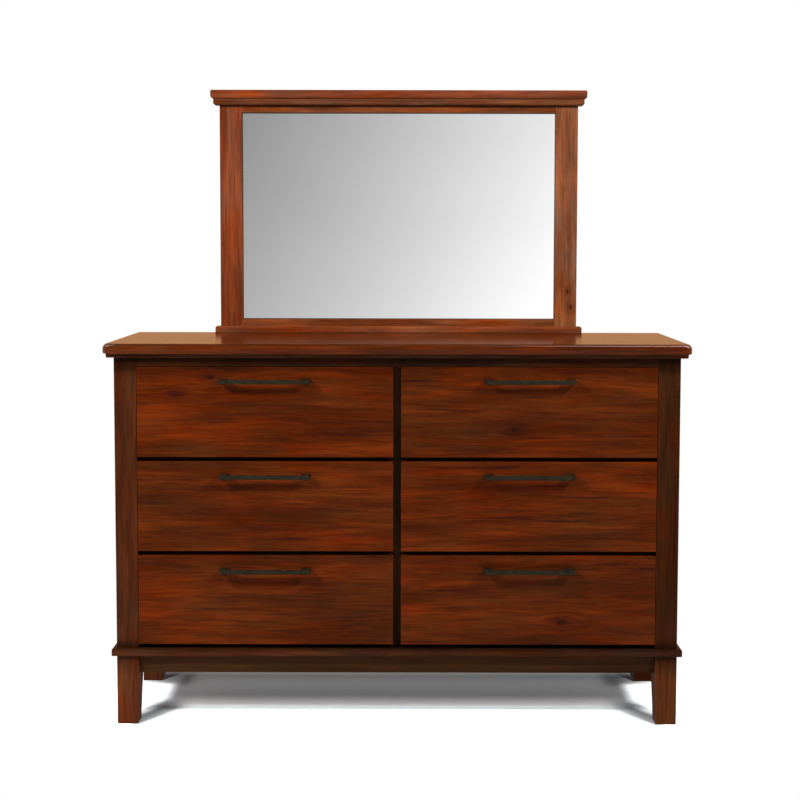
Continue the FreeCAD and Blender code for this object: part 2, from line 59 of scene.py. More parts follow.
# %% Helpers: nodes and sums
def in_use(sockets, key):
    """The socket of that name or number that the node shows at present."""
    if isinstance(key, int):
        return sockets[key]
    return next(socket for socket in sockets if socket.name == key and socket.enabled)


def put(tree, kind, inputs=(), **options):
    """Adds a node with its options and inputs, and returns it."""
    node = tree.nodes.new(kind)
    for name, value in options.items():
        setattr(node, name, value)
    for key, value in dict(inputs).items():
        socket = in_use(node.inputs, key)
        if isinstance(value, bpy.types.NodeSocket):
            tree.links.new(value, socket)
        else:
            socket.default_value = value
    return node


def reckon(tree, operation, *values):
    """A sum on single numbers, such as ADD or MINIMUM."""
    return put(tree, "ShaderNodeMath", dict(enumerate(values)), operation=operation).outputs[0]


def times(tree, first, *others):
    """The product of several numbers."""
    for other in others:
        first = reckon(tree, "MULTIPLY", first, other)
    return first


def shift(tree, operation, *values):
    """A sum on vectors, such as MULTIPLY or SUBTRACT."""
    node = put(tree, "ShaderNodeVectorMath", dict(enumerate(values)), operation=operation)
    return in_use(node.outputs, "Value" if operation == "LENGTH" else "Vector")


def split(tree, vector):
    """The X, Y and Z of a vector."""
    return put(tree, "ShaderNodeSeparateXYZ", {"Vector": vector}).outputs


def join(tree, x=0.0, y=0.0, z=0.0):
    """A vector from its X, Y and Z."""
    return put(tree, "ShaderNodeCombineXYZ", {"X": x, "Y": y, "Z": z}).outputs[0]

# %% [markdown]
# Most finishes here are noise that is squeezed into a soft step and then mixed into a colour.
# Colours are written as a screen shows them, from 0 to 255, because they can be compared with
# a photograph that way, and `paint` turns them into the light that a shader works with.

# %% Helpers: patterns and colours
def ease(tree, value, start, stop, low=0.0, high=1.0):
    """A soft step from low to high while the value goes from start to stop."""
    inputs = {"Value": value, "From Min": start, "From Max": stop, "To Min": low, "To Max": high}
    return put(tree, "ShaderNodeMapRange", inputs, interpolation_type="SMOOTHSTEP").outputs[0]


def speckle(tree, vector, seed, detail=2.0, roughness=0.5):
    """Noise in four dimensions, where the fourth picks another piece of the same timber."""
    inputs = {"Vector": vector, "W": seed, "Scale": 1.0, "Detail": detail, "Roughness": roughness}
    return put(tree, "ShaderNodeTexNoise", inputs, noise_dimensions="4D").outputs[0]


def blend(tree, amount, first, second, blend_type="MIX"):
    """One colour over another."""
    inputs = {"Factor": amount, "A": first, "B": second}
    node = put(tree, "ShaderNodeMix", inputs, data_type="RGBA", blend_type=blend_type)
    return in_use(node.outputs, "Result")


def tinted(tree, colour, tint, amount=1.0):
    """A colour multiplied with another one, or with a number."""
    return blend(tree, amount, colour, tint, "MULTIPLY")


def paint(red, green, blue):
    """A colour as a screen shows it, from 0 to 255, turned into light."""
    def light(level):
        level /= 255
        return level / 12.92 if level <= 0.04045 else ((level + 0.055) / 1.055) ** 2.4
    return (light(red), light(green), light(blue), 1.0)

# %% [markdown]
# An effect that several finishes share is a node group with named sockets. It hands out masks
# and places only, and each material keeps its own shader, so that the finish stays adjustable.

# %% Helpers: groups and materials
def new_group(name, kind, inputs, outputs):
    """An empty node group, as its tree, its given inputs and its wanted outputs."""
    tree = bpy.data.node_groups.new(name, kind)
    for in_out, sockets in (("INPUT", inputs), ("OUTPUT", outputs)):
        for label, data in sockets.items():
            tree.interface.new_socket(name=label, in_out=in_out, socket_type="NodeSocket" + data)
    given = tree.nodes.new("NodeGroupInput").outputs
    wanted = tree.nodes.new("NodeGroupOutput").inputs
    return tree, given, wanted


def blank_material(name):
    """A material with an empty node tree, and that tree."""
    material = bpy.data.materials.new(name)
    material.use_nodes = True
    material.node_tree.nodes.clear()
    return material, material.node_tree


def finish_node(node, material):
    """Gives a CAD node its own material in place of the plain one it came with."""
    nodes[node].data.materials[0] = material

# %% [markdown]
# ## Timber
#
# A knot is where a branch grew. The fibres part round it like water round a stone, and its
# heart is dark. The group takes a point in the board, pushes points near the knot towards
# its middle, so that the grain drawn there bows outwards, and gives the heart as a mask.
# Drawing the bow by hand would need a picture, while this follows the grain of any board.

# %% Node group: knot
KNOT_SHAPE = (0.55, 1.0, 1.0)
BOW = (0.4, 4.5, 0.8, 0.0)
HEART_EDGE = (1.0, 0.45)
HALO_EDGE = (3.4, 0.8)
knot_group, given, wanted = new_group(
    "Knot", "ShaderNodeTree",
    {"Vector": "Vector", "Centre": "Vector", "Radius": "Float"},
    {"Vector": "Vector", "Heart": "Float", "Halo": "Float"},
)
away = shift(knot_group, "SUBTRACT", given["Vector"], given["Centre"])
distance = shift(knot_group, "LENGTH", shift(knot_group, "MULTIPLY", away, KNOT_SHAPE))
in_radii = reckon(knot_group, "DIVIDE", distance, given["Radius"])
squeeze = reckon(knot_group, "SUBTRACT", 1.0, ease(knot_group, in_radii, *BOW))
bowed = shift(knot_group, "MULTIPLY", away, join(knot_group, 1.0, squeeze, squeeze))
knot_group.links.new(shift(knot_group, "ADD", bowed, given["Centre"]), wanted["Vector"])
knot_group.links.new(ease(knot_group, in_radii, *HEART_EDGE), wanted["Heart"])
knot_group.links.new(ease(knot_group, in_radii, *HALO_EDGE), wanted["Halo"])
print("Knot group:", len(knot_group.nodes), "nodes")

# %% [markdown]
# Grain is one pattern at several sizes: slow ripples in the fibre, broad light and dark
# bands of the growth rings, short blotches where the stain sank in, thin dark streaks, fine
# lines, and fibres too fine to count. Each is noise that is stretched along the board, with so
# many waves a metre along, across and through. Wave textures look too even for stained
# hardwood, so noise draws all of them here, and the seed cuts every board from another place.

# %% Node group: timber figure
SWAY_WAVES = (2.2, 9.0, 9.0)
HALF_RANGE = (0.3, 0.7)
# Waves, offset of the seed, detail, roughness, and the part of the noise that becomes the mask
FIGURE = {
    "Bands": ((2.6, 22.0, 22.0), 7.1, 4.0, 0.6, HALF_RANGE),
    "Blotches": ((9.0, 44.0, 44.0), 8.8, 3.0, 0.6, HALF_RANGE),
    "Streaks": ((2.4, 105.0, 105.0), 3.3, 2.0, 0.55, (0.6, 0.72)),
    "Lines": ((9.0, 150.0, 150.0), 2.4, 3.0, 0.65, HALF_RANGE),
    "Fibres": ((26.0, 1200.0, 1200.0), 1.7, 2.0, 0.6, None),
    "Cloud": ((4.0, 9.0, 9.0), 5.9, 2.0, 0.5, HALF_RANGE),
}
timber_group, given, wanted = new_group(
    "Timber figure", "ShaderNodeTree",
    {"Vector": "Vector", "Seed": "Float", "Ripple": "Float"},
    {kind: "Float" for kind in FIGURE},
)
sway_place = shift(timber_group, "MULTIPLY", given["Vector"], SWAY_WAVES)
slow = speckle(timber_group, sway_place, given["Seed"], 1.0)
sway = times(timber_group, reckon(timber_group, "SUBTRACT", slow, 0.5), given["Ripple"])
swayed = shift(timber_group, "ADD", given["Vector"], join(timber_group, 0.0, sway, sway))
for kind, (waves, offset, detail, roughness, kept) in FIGURE.items():
    place = shift(timber_group, "MULTIPLY", swayed, waves)
    cut = reckon(timber_group, "ADD", given["Seed"], offset)
    noise = speckle(timber_group, place, cut, detail, roughness)
    timber_group.links.new(ease(timber_group, noise, *kept) if kept else noise, wanted[kind])
print("Timber group:", len(timber_group.nodes), "nodes")

# %% [markdown]
# Stain rubs thin where hands and cloths pass, which is along the edges. A board is a box,
# so the middle one of a point's three distances to the box's faces is its distance to the
# nearest edge. Boards that stand in mirrored pairs are folded onto one another first. This
# needs no second mesh and no baked map, and it works on a mesh of loose triangles.

# %% Node group: rubbed edges
PATCH_WAVES = (38.0, 38.0, 38.0)
WORN = (1.25, 0.45)
rub_group, given, wanted = new_group(
    "Rubbed edges", "ShaderNodeTree",
    {"Vector": "Vector", "Fold": "Float", "Centre": "Vector", "Half": "Vector", "Width": "Float"},
    {"Rub": "Float"},
)
point = split(rub_group, given["Vector"])
folded = reckon(rub_group, "ABSOLUTE", reckon(rub_group, "SUBTRACT", point["X"], given["Fold"]))
together = join(rub_group, folded, point["Y"], point["Z"])
inside = shift(rub_group, "ABSOLUTE", shift(rub_group, "SUBTRACT", together, given["Centre"]))
gap = split(rub_group, shift(rub_group, "SUBTRACT", given["Half"], inside))
lesser = reckon(rub_group, "MINIMUM", gap["X"], gap["Y"])
greater = reckon(rub_group, "MAXIMUM", gap["X"], gap["Y"])
edge = reckon(rub_group, "MAXIMUM", lesser, reckon(rub_group, "MINIMUM", greater, gap["Z"]))
patches = speckle(rub_group, shift(rub_group, "MULTIPLY", given["Vector"], PATCH_WAVES), 2.0, 3.0)
share = reckon(rub_group, "DIVIDE", edge, given["Width"])
worn = ease(rub_group, reckon(rub_group, "ADD", share, patches), *WORN)
rub_group.links.new(worn, wanted["Rub"])
print("Rub group:", len(rub_group.nodes), "nodes")

# %% [markdown]
# ## Stain and lacquer
#
# Each board, or pair of boards, has its own material from one recipe. Object coordinates are
# turned so that X runs along the grain, and rubbed edges need the board's box. Painting a map
# for each board would take a day; measuring the boards takes two small functions.

# %% Helpers: how a board lies
TURNS = {"x": (0.0, 0.0, 0.0), "y": (0.0, 0.0, -math.pi / 2), "z": (0.0, math.pi / 2, 0.0)}


def along_grain(run, place):
    """The same place in the turned coordinates, in which X runs along the grain."""
    x, y, z = place
    return {"x": (x, y, z), "y": (y, -x, z), "z": (z, y, -x)}[run]


def edge_box(node, fold=None):
    """The fold, centre and half size of a board, or of the right one of a mirrored pair."""
    corners = [vertex.co for vertex in nodes[node].data.vertices]
    if fold is not None:
        corners = [corner for corner in corners if corner.x > fold]
    low = Vector([min(corner[axis] for corner in corners) for axis in range(3)])
    high = Vector([max(corner[axis] for corner in corners) for axis in range(3)])
    centre = (low + high) / 2
    if fold is None:
        fold = centre.x
    return fold, Vector((centre.x - fold, centre.y, centre.z)), (high - low) / 2

# %% [markdown]
# The stain is a ramp of three colours over the growth bands, with dark streaks. It is redder in
# some clouds and browner in others, and fibres and lines make it uneven. Stained hardwood is
# vivid; bare timber and pressed board have the same figure, only paler, so `vivid` scales it.

# %% Helper: colour of the figure
RED_TINT = (1.15, 0.77, 0.28, 1.0)
BROWN_TINT = (0.89, 1.26, 2.0, 1.0)
STREAK_SHARE = 0.65
SUNK = (1.06, 0.94)
FIBRE = (0.94, 1.06)
LINE = (0.8, 1.2)


def stain_colour(tree, drawn, stains, vivid):
    """The colour of a figure, from its dark, middle, light and streak stains."""
    dark, middle, light, streak = stains
    ramp = put(tree, "ShaderNodeValToRGB", {0: drawn["Bands"]})
    stops = ramp.color_ramp.elements
    stops[0].color = dark
    stops[1].color = light
    stops.new(0.5).color = middle
    colour = blend(tree, times(tree, drawn["Streaks"], STREAK_SHARE * vivid), ramp.outputs[0], streak)
    warmth = times(tree, reckon(tree, "ADD", drawn["Cloud"], drawn["Blotches"]), 0.5)
    colour = tinted(tree, colour, blend(tree, warmth, RED_TINT, BROWN_TINT), vivid)
    sunk = ease(tree, drawn["Blotches"], 0.0, 1.0, *SUNK)
    fibre = ease(tree, drawn["Fibres"], *HALF_RANGE, *FIBRE)
    line = ease(tree, drawn["Lines"], 0.0, 1.0, *LINE)
    return tinted(tree, colour, times(tree, sunk, fibre, line), vivid)

# %% [markdown]
# The lacquer over the stain is satin: its roughness follows the fibres, and a little relief
# lets the grain be felt. `polish` is low, because a wiped finish reflects little from the
# front, though any finish reflects much at a low angle. A run of moulding carries its grain as
# an attribute instead of object coordinates.

# %% Helper: a stained board
RIPPLE = 0.03
EDGE_WIDTH = 0.004
RELIEF_DEPTH = 0.0004
HEART_STAIN = (30, 14, 7)
HALO_SHARE = 0.45
HEART_SHARE = 0.7
RUB_SHARE = 0.2
RUB_DULL = 0.08
STREAK_DIP = 0.5
GLOSS_RANGE = (0.25, 0.75)


def stained(name, tone, seed, run="x", edges=None, knots=(), attribute=None, painted_light_and_tint=None,
            polish=0.04, gloss=(0.3, 0.42), relief=0.12, vivid=1.0):
    """The material of one board: its stain colours, its cut of timber and its lacquer."""
    material, tree = blank_material(name)
    *stains, rubbed = (paint(*colour) for colour in tone)
    if attribute:
        place = grain = put(tree, "ShaderNodeAttribute", attribute_name=attribute).outputs["Vector"]
    else:
        place = put(tree, "ShaderNodeTexCoord").outputs["Object"]
        grain = put(tree, "ShaderNodeMapping", {"Vector": place, "Rotation": TURNS[run]}).outputs[0]
    hearts = []
    for centre, radius in knots:
        inputs = {"Vector": grain, "Centre": along_grain(run, centre), "Radius": radius}
        knot = put(tree, "ShaderNodeGroup", inputs, node_tree=knot_group).outputs
        grain = knot["Vector"]
        hearts.append(knot)
    inputs = {"Vector": grain, "Seed": seed, "Ripple": RIPPLE}
    drawn = put(tree, "ShaderNodeGroup", inputs, node_tree=timber_group).outputs
    colour = stain_colour(tree, drawn, stains, vivid)
    # Painted light and shade from `ends`, with plain tints, multiply the stain colour here
    if painted_light_and_tint:
        colour = painted_light_and_tint(tree, place, colour)
    for heart in hearts:
        colour = blend(tree, times(tree, heart["Halo"], HALO_SHARE), colour, stains[-1])
        colour = blend(tree, times(tree, heart["Heart"], HEART_SHARE), colour, paint(*HEART_STAIN))
    rough = ease(tree, drawn["Fibres"], *GLOSS_RANGE, *gloss)
    if edges:
        fold, centre, half = edges
        inputs = {"Vector": place, "Fold": fold, "Centre": centre, "Half": half, "Width": EDGE_WIDTH}
        rub = put(tree, "ShaderNodeGroup", inputs, node_tree=rub_group).outputs["Rub"]
        colour = blend(tree, times(tree, rub, RUB_SHARE), colour, rubbed)
        rough = reckon(tree, "ADD", rough, times(tree, rub, RUB_DULL))
    height = reckon(tree, "SUBTRACT", drawn["Fibres"], times(tree, drawn["Streaks"], STREAK_DIP))
    bump = put(tree, "ShaderNodeBump", {"Strength": relief, "Distance": RELIEF_DEPTH, "Height": height})
    lacquer = put(tree, "ShaderNodeBsdfPrincipled", {
        "Base Color": colour, "Roughness": rough, "Normal": bump.outputs[0], "Specular IOR Level": polish,
    })
    put(tree, "ShaderNodeOutputMaterial", {"Surface": lacquer.outputs[0]})
    return material

# %% [markdown]
# `ends` makes a function that paints light and shade into a board's colour, and also gives
# plain tints. It multiplies the colour from one end of the dresser to the other, as painted light
# that differs from left to right, and in bands of height, as painted shade under a moulding or
# the top and as painted light on the feet. Two materials on one board would break its grain,
# and this keeps it one piece.

# %% Helper: painted light, painted shade and tints
END_TO_END = (-0.7, 0.7)
EVEN = (1.0, 1.0, 1.0)


def ends(left, right, *bands):
    """Colours to multiply with at the left and the right end. Each band is two heights, and how
    far the colour has changed at the second of them at the left and the right end."""
    def painted_light_and_tint(tree, place, colour):
        axes = split(tree, place)
        across = ease(tree, axes["X"], *END_TO_END)
        colour = tinted(tree, colour, blend(tree, across, (*left, 1.0), (*right, 1.0)))
        for begin, end, at_left, at_right in bands:
            change = ease(tree, across, 0.0, 1.0, at_left, at_right)
            colour = tinted(tree, colour, ease(tree, axes["Z"], begin, end, 1.0, change))
        return colour
    return painted_light_and_tint

# %% [markdown]
# The six drawer fronts show most of the wood. They are flat boards with the grain across
# the dresser, deep red brown, with orange lights and a few knots. The knots that can be
# picked out are put where they are; the rest of the figure is left to each board's seed.

# %% Drawer fronts
FRONT_FACE = -0.1978
# Each tone is the dark, middle and light stain, the streaks and the rubbed edges
FRONT_TONE = ((67, 26, 5), (83, 32, 6), (102, 40, 7), (44, 14, 10), (116, 53, 20))
# Painted shade: the top fronts are painted darker towards their upper edge, under the top
FRONT_SHADE = (0.9, 0.955, 0.55, 0.55)
FRONT_SEED, FRONT_SEED_STEP = 10.0, 3.7
FRONT_KNOTS = {
    "top_left": (((-0.577, FRONT_FACE, 0.875), 0.006), ((-0.486, FRONT_FACE, 0.92), 0.007)),
    "top_right": (((0.305, FRONT_FACE, 0.784), 0.008),),
    "bottom_right": (((0.433, FRONT_FACE, 0.275), 0.01),),
}
DRAWERS = [f"{row}_{column}" for row in ("bottom", "middle", "top") for column in ("left", "right")]
for number, drawer in enumerate(DRAWERS, start=1):
    node = f"{drawer}_drawer_front"
    finish_node(node, stained(
        f"{drawer} front", FRONT_TONE, FRONT_SEED + FRONT_SEED_STEP * number, "x", edge_box(node),
        FRONT_KNOTS.get(drawer, ()), painted_light_and_tint=ends(EVEN, EVEN, FRONT_SHADE),
    ))
print("Stained fronts:", DRAWERS)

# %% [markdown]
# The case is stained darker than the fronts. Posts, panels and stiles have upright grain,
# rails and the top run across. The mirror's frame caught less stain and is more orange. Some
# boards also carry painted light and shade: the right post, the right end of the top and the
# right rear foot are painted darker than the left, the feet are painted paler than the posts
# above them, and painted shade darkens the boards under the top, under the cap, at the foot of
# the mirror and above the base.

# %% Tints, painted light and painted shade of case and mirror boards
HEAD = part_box("mirror_stiles")[1].z
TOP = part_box("top_panel")[1].z
# Painted shade bands: under the cap's overhang, under the top's overhang, and at the foot of the mirror
# where it stands on the top
UNDER_CAP = (HEAD - 0.009, HEAD - 0.003, 0.35, 0.35)
UNDER_TOP = (0.9, 0.955, 0.7, 0.7)
ON_TOP = (TOP + 0.004, TOP + 0.001, 0.35, 0.35)
# A painted dark line along the upper edge of the top at its left end, undone again on its flat face
TOP_EDGE = ((TOP - 0.006, TOP - 0.003, 0.45, 1.0), (TOP - 0.002, TOP, 2.2, 1.0))
# Painted light on the feet, which are paler, painted shade under the top in two steps, and a painted dark
# line of shade just above the base moulding, undone below it
POST_BANDS = (
    (0.18, 0.12, 1.55, 2.3), UNDER_TOP, (0.925, 0.945, 0.5, 0.54),
    (0.235, 0.209, 0.42, 0.55), (0.2, 0.19, 2.4, 1.8),
)
RAIL_TINT, BASE_TINT = (0.88, 1.04, 1.12), (0.93, 0.93, 0.93)
CAP_TINT, CAP_TRIM_TINT = (0.84, 0.84, 0.9), (0.66, 0.88, 1.05)
# Painted light and shade per board: darker towards the right, where the light is weaker, the right mirror
# stile paler and greyer as a painted haze of light, and the upper mirror rail darker as painted shade
# under the cap. The tints of the rails, base, cap moulding and cap are plain colour.
PAINTED_LIGHT_AND_TINTS = {
    "top_panel": ends((0.8, 0.76, 0.55), (0.72, 0.58, 0.2), *TOP_EDGE),
    "front_posts": ends((1.08, 0.95, 0.72), (0.62, 0.61, 0.4), *POST_BANDS),
    "rear_posts": ends((1.05, 1.05, 1.1), (0.42, 0.42, 0.42), (0.18, 0.12, 1.6, 1.4)),
    "mirror_stiles": ends((0.71, 0.65, 0.7), (1.16, 1.85, 2.8), UNDER_CAP),
    "mirror_rails": ends(RAIL_TINT, RAIL_TINT, UNDER_CAP, (1.2, 1.5, 0.76, 0.76)),
    "mirror_base": ends(BASE_TINT, BASE_TINT, ON_TOP),
    "mirror_cap_moulding": ends(CAP_TRIM_TINT, CAP_TRIM_TINT),
    "mirror_cap": ends(CAP_TINT, CAP_TINT),
}
print("Uneven boards:", len(PAINTED_LIGHT_AND_TINTS))

# %% [markdown]
# Each board then has a tone, the way its grain runs, and a fold where it stands in a mirrored
# pair. The number of the board in the list picks its cut, so that each entry has its own figure.
# The top is polished more than the rest and filled smooth, as a surface for use is.

# %% Case and mirror boards
TOP_TONE = ((72, 29, 9), (92, 39, 13), (112, 49, 18), (50, 20, 8), (132, 66, 30))
POST_TONE = ((62, 30, 13), (70, 34, 16), (78, 39, 19), (46, 21, 9), (94, 48, 24))
DARK_TONE = ((34, 17, 8), (44, 22, 10), (54, 28, 13), (24, 12, 6), (66, 36, 18))
INNER_TONE = ((32, 16, 8), (42, 21, 10), (54, 28, 13), (22, 11, 6), (60, 33, 16))
FRAME_TONE = ((100, 45, 19), (124, 58, 26), (146, 73, 35), (72, 31, 13), (160, 88, 46))
CAP_TONE = ((100, 46, 22), (122, 58, 29), (144, 74, 40), (72, 32, 15), (160, 94, 56))
STRIP_TONE = ((50, 29, 15), (63, 38, 20), (78, 48, 25), (38, 21, 11), (86, 53, 29))
TOP_POLISH = {"polish": 0.15, "gloss": (0.15, 0.2), "relief": 0.02}
BOARD_SEED, BOARD_SEED_STEP = 41.0, 2.9
STILE_KNOTS = (((0.497, 0.19, 1.085), 0.006), ((0.488, 0.19, 1.13), 0.004))
BOARDS = {
    "top_panel": (TOP_TONE, "x", None),
    "front_posts": (POST_TONE, "z", 0.0),
    "rear_posts": (POST_TONE, "z", 0.0),
    "left_side_panel": (POST_TONE, "z", None),
    "right_side_panel": (POST_TONE, "z", None),
    "top_rail": (DARK_TONE, "x", None),
    "bottom_panel": (INNER_TONE, "x", None),
    "centre_partition": (STRIP_TONE, "z", None),
    "back_cleat": (INNER_TONE, "x", None),
    "mirror_stiles": (FRAME_TONE, "z", 0.0),
    "mirror_rails": (FRAME_TONE, "x", None),
    "mirror_base": (CAP_TONE, "x", None),
    "mirror_cap_moulding": (CAP_TONE, "x", None),
    "mirror_cap": (CAP_TONE, "x", None),
    "mirror_supports": (INNER_TONE, "z", 0.0),
}
for number, (node, (tone, run, fold)) in enumerate(BOARDS.items(), start=1):
    finish_node(node, stained(
        f"{node} stain", tone, BOARD_SEED + BOARD_SEED_STEP * number, run, edge_box(node, fold),
        STILE_KNOTS if node == "mirror_stiles" else (), painted_light_and_tint=PAINTED_LIGHT_AND_TINTS.get(node),
        **(TOP_POLISH if node == "top_panel" else {}),
    ))
# Painted light and shade on the aprons: lighter at the left than the right, and darker in their lower
# part
APRON_PAINTED_LIGHT = ends((1.12, 1.5, 1.35), (0.8, 1.15, 1.1), (0.156, 0.144, 0.7, 0.6))
finish_node("row_rails", stained("row rail stain", INNER_TONE, 93.0, "x"))
finish_node("aprons", stained("apron stain", POST_TONE, 71.0, "x", painted_light_and_tint=APRON_PAINTED_LIGHT, vivid=0.5))
print("Stained boards:", len(BOARDS) + 2)

# %% [markdown]
# Inside, a drawer is plain pale timber with no stain, under a thin sealer, and its bottom
# and the back of the case are thin pressed board. The same recipe does for both, with pale
# colours and a calm figure.

# %% Drawer boxes, drawer bottoms and backs
BOX_TONE = ((176, 138, 92), (196, 160, 112), (212, 180, 134), (150, 110, 68), (222, 196, 156))
SHEET_TONE = ((120, 82, 50), (138, 98, 62), (154, 114, 76), (98, 64, 38), (168, 130, 92))
SEALED_TIMBER = {"polish": 0.3, "vivid": 0.35}
PRESSED_BOARD = {"polish": 0.3, "vivid": 0.25}
box_sides = stained("drawer side timber", BOX_TONE, 5.0, "y", **SEALED_TIMBER)
box_ends = stained("drawer end timber", BOX_TONE, 6.0, "x", **SEALED_TIMBER)
box_bottom = stained("drawer bottom board", SHEET_TONE, 7.0, "x", **PRESSED_BOARD)
for drawer in DRAWERS:
    finish_node(f"{drawer}_drawer_sides", box_sides)
    finish_node(f"{drawer}_drawer_ends", box_ends)
    finish_node(f"{drawer}_drawer_bottom", box_bottom)
for node in ("back_panel", "mirror_backing"):
    finish_node(node, stained(f"{node} board", SHEET_TONE, 8.0, "x", edge_box(node), **PRESSED_BOARD))
print("Pale timber in", len(DRAWERS), "drawers")

# %% [markdown]
# ## Metal and glass
#
# Worn metal is never one grey. This group gives cloudy patches and fine scratches along one
# direction; the bronze pulls, the coated slides and the screws each use it at their own scale.

# %% Node group: handled metal
metal_group, given, wanted = new_group(
    "Handled metal", "ShaderNodeTree",
    {"Vector": "Vector", "Patch": "Float", "Scratch": "Vector"},
    {"Patches": "Float", "Scratches": "Float"},
)
inputs = {0: given["Vector"], "Scale": given["Patch"]}
patch_place = put(metal_group, "ShaderNodeVectorMath", inputs, operation="SCALE").outputs[0]
scratch_place = shift(metal_group, "MULTIPLY", given["Vector"], given["Scratch"])
cloudy = speckle(metal_group, patch_place, 4.0, 4.0, 0.6)
scratched = speckle(metal_group, scratch_place, 9.0, 3.0, 0.6)
metal_group.links.new(ease(metal_group, cloudy, 0.32, 0.68), wanted["Patches"])
metal_group.links.new(ease(metal_group, scratched, *HALF_RANGE), wanted["Scratches"])
print("Metal group:", len(metal_group.nodes), "nodes")

# %% [markdown]
# The pulls are dark bronze, lacquered so that little bare metal shows. The slides have a black
# coat that is scratched lengthways by their travel, and the screws are bright plated steel.

# %% Metals
PATCH_DULL, SCRATCH_DEPTH, METAL_POLISH = 0.08, 0.4, 0.15


def metal(name, dark, light, patch, scratch, rough, metallic, relief):
    """A handled metal: two colours in patches, scratches in its gloss and a little relief."""
    material, tree = blank_material(name)
    place = put(tree, "ShaderNodeTexCoord").outputs["Object"]
    inputs = {"Vector": place, "Patch": patch, "Scratch": scratch}
    marks = put(tree, "ShaderNodeGroup", inputs, node_tree=metal_group).outputs
    colour = blend(tree, marks["Patches"], paint(*dark), paint(*light))
    gloss = reckon(tree, "ADD", ease(tree, marks["Scratches"], 0.0, 1.0, *rough),
                   times(tree, marks["Patches"], PATCH_DULL))
    height = reckon(tree, "ADD", marks["Patches"], times(tree, marks["Scratches"], SCRATCH_DEPTH))
    bump = put(tree, "ShaderNodeBump", {"Strength": relief, "Distance": RELIEF_DEPTH, "Height": height})
    shader = put(tree, "ShaderNodeBsdfPrincipled", {
        "Base Color": colour, "Roughness": gloss, "Metallic": metallic, "Normal": bump.outputs[0],
        "Specular IOR Level": METAL_POLISH,
    })
    put(tree, "ShaderNodeOutputMaterial", {"Surface": shader.outputs[0]})
    return material


bronze = metal(
    "dark bronze", (34, 30, 21), (50, 43, 29), patch=90.0, scratch=(60.0, 700.0, 700.0),
    rough=(0.36, 0.5), metallic=0.2, relief=0.12)
coated = metal(
    "coated slide", (26, 26, 28), (40, 40, 42), patch=60.0, scratch=(900.0, 14.0, 900.0),
    rough=(0.42, 0.56), metallic=0.2, relief=0.06)
screw_steel = metal(
    "screw steel", (120, 120, 118), (168, 168, 164), patch=300.0, scratch=(500.0, 500.0, 500.0),
    rough=(0.25, 0.4), metallic=1.0, relief=0.05)
for drawer in DRAWERS:
    finish_node(f"{drawer}_drawer_slides", coated)
finish_node("slide_rails", coated)
print("Metals:", bronze.name, coated.name, screw_steel.name)

# %% [markdown]
# A mirror is silvered glass: it acts as a polished metal behind a clear sheet. One metallic
# surface shows that, with a faint film that the cloth left, in its colour and its gloss. A
# painted shadow runs round it as a dark line, where the frame's rabbet would shade the silver.
# Its reflection in the lacquer of the top is painted too: what glossy rays see of the mirror
# is a dim, warm colour.

# %% Mirror glass
RABBET = 0.0205
DARK_LINE = (0.0035, 0.001)
IN_LACQUER = (0.8, 0.52, 0.36, 1.0)
glass, tree = blank_material("silvered glass")
place = put(tree, "ShaderNodeTexCoord").outputs["Object"]
film = speckle(tree, shift(tree, "MULTIPLY", place, (3.0, 3.0, 5.0)), 1.0, 3.0, 0.55)
silver = blend(tree, ease(tree, film, 0.35, 0.7), paint(249, 249, 249), paint(246, 246, 246))
rail_low, rail_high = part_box("mirror_rails")
stile_low, stile_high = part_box("mirror_stiles")
sight_middle = (0.0, rail_low.y, (stile_low.z + stile_high.z) / 2)
sight_half = (rail_high.x, 1.0, (stile_high.z - stile_low.z) / 2 - RABBET)
# Painted shadow: a dark line round the edge of the silver
off_middle = shift(tree, "ABSOLUTE", shift(tree, "SUBTRACT", place, sight_middle))
inset = split(tree, shift(tree, "SUBTRACT", sight_half, off_middle))
shade = ease(tree, reckon(tree, "MINIMUM", inset["X"], inset["Z"]), *DARK_LINE)
silver = blend(tree, shade, silver, paint(96, 72, 58))
# Painted reflection: glossy rays see the mirror as a dim, warm colour
silver = blend(tree, put(tree, "ShaderNodeLightPath").outputs["Is Glossy Ray"], silver, IN_LACQUER)
shader = put(tree, "ShaderNodeBsdfPrincipled", {
    "Base Color": silver, "Metallic": 1.0, "Roughness": ease(tree, film, *HALF_RANGE, 0.008, 0.02),
})
put(tree, "ShaderNodeOutputMaterial", {"Surface": shader.outputs[0]})
finish_node("mirror_glass", glass)

# %% [markdown]
# ## Mouldings
#
# A moulding is one profile that runs along an edge and is mitred where it turns a corner.
# Geometry Nodes makes a run from the profile: it pulls the flat outline along X, closes the
# far end, and shears each end by the depth of the profile, which is a mitre of 45 degrees.
# Before the shear it stores each point's place, so that the grain keeps to the run, also on
# the runs that are turned to the sides of the case. A cut through one solid frame could not
# give that grain.

# %% Geometry nodes: moulding run
WELD = 0.00001
run_tree, given, wanted = new_group(
    "Moulding run", "GeometryNodeTree",
    {"Geometry": "Geometry", "Length": "Float", "Left mitre": "Float", "Right mitre": "Float",
     "Turn": "Float", "Place": "Vector", "Material": "Material"},
    {"Geometry": "Geometry"},
)
start = put(run_tree, "GeometryNodeSetPosition", {
    "Geometry": given["Geometry"], "Offset": join(run_tree, times(run_tree, given["Length"], -0.5)),
}).outputs[0]
pulled = put(run_tree, "GeometryNodeExtrudeMesh", {
    "Mesh": start, "Offset": join(run_tree, given["Length"]), "Offset Scale": 1.0, "Individual": False,
}, mode="FACES").outputs["Mesh"]
joined = put(run_tree, "GeometryNodeJoinGeometry")
run_tree.links.new(pulled, joined.inputs[0])
run_tree.links.new(put(run_tree, "GeometryNodeFlipFaces", {"Mesh": start}).outputs[0], joined.inputs[0])
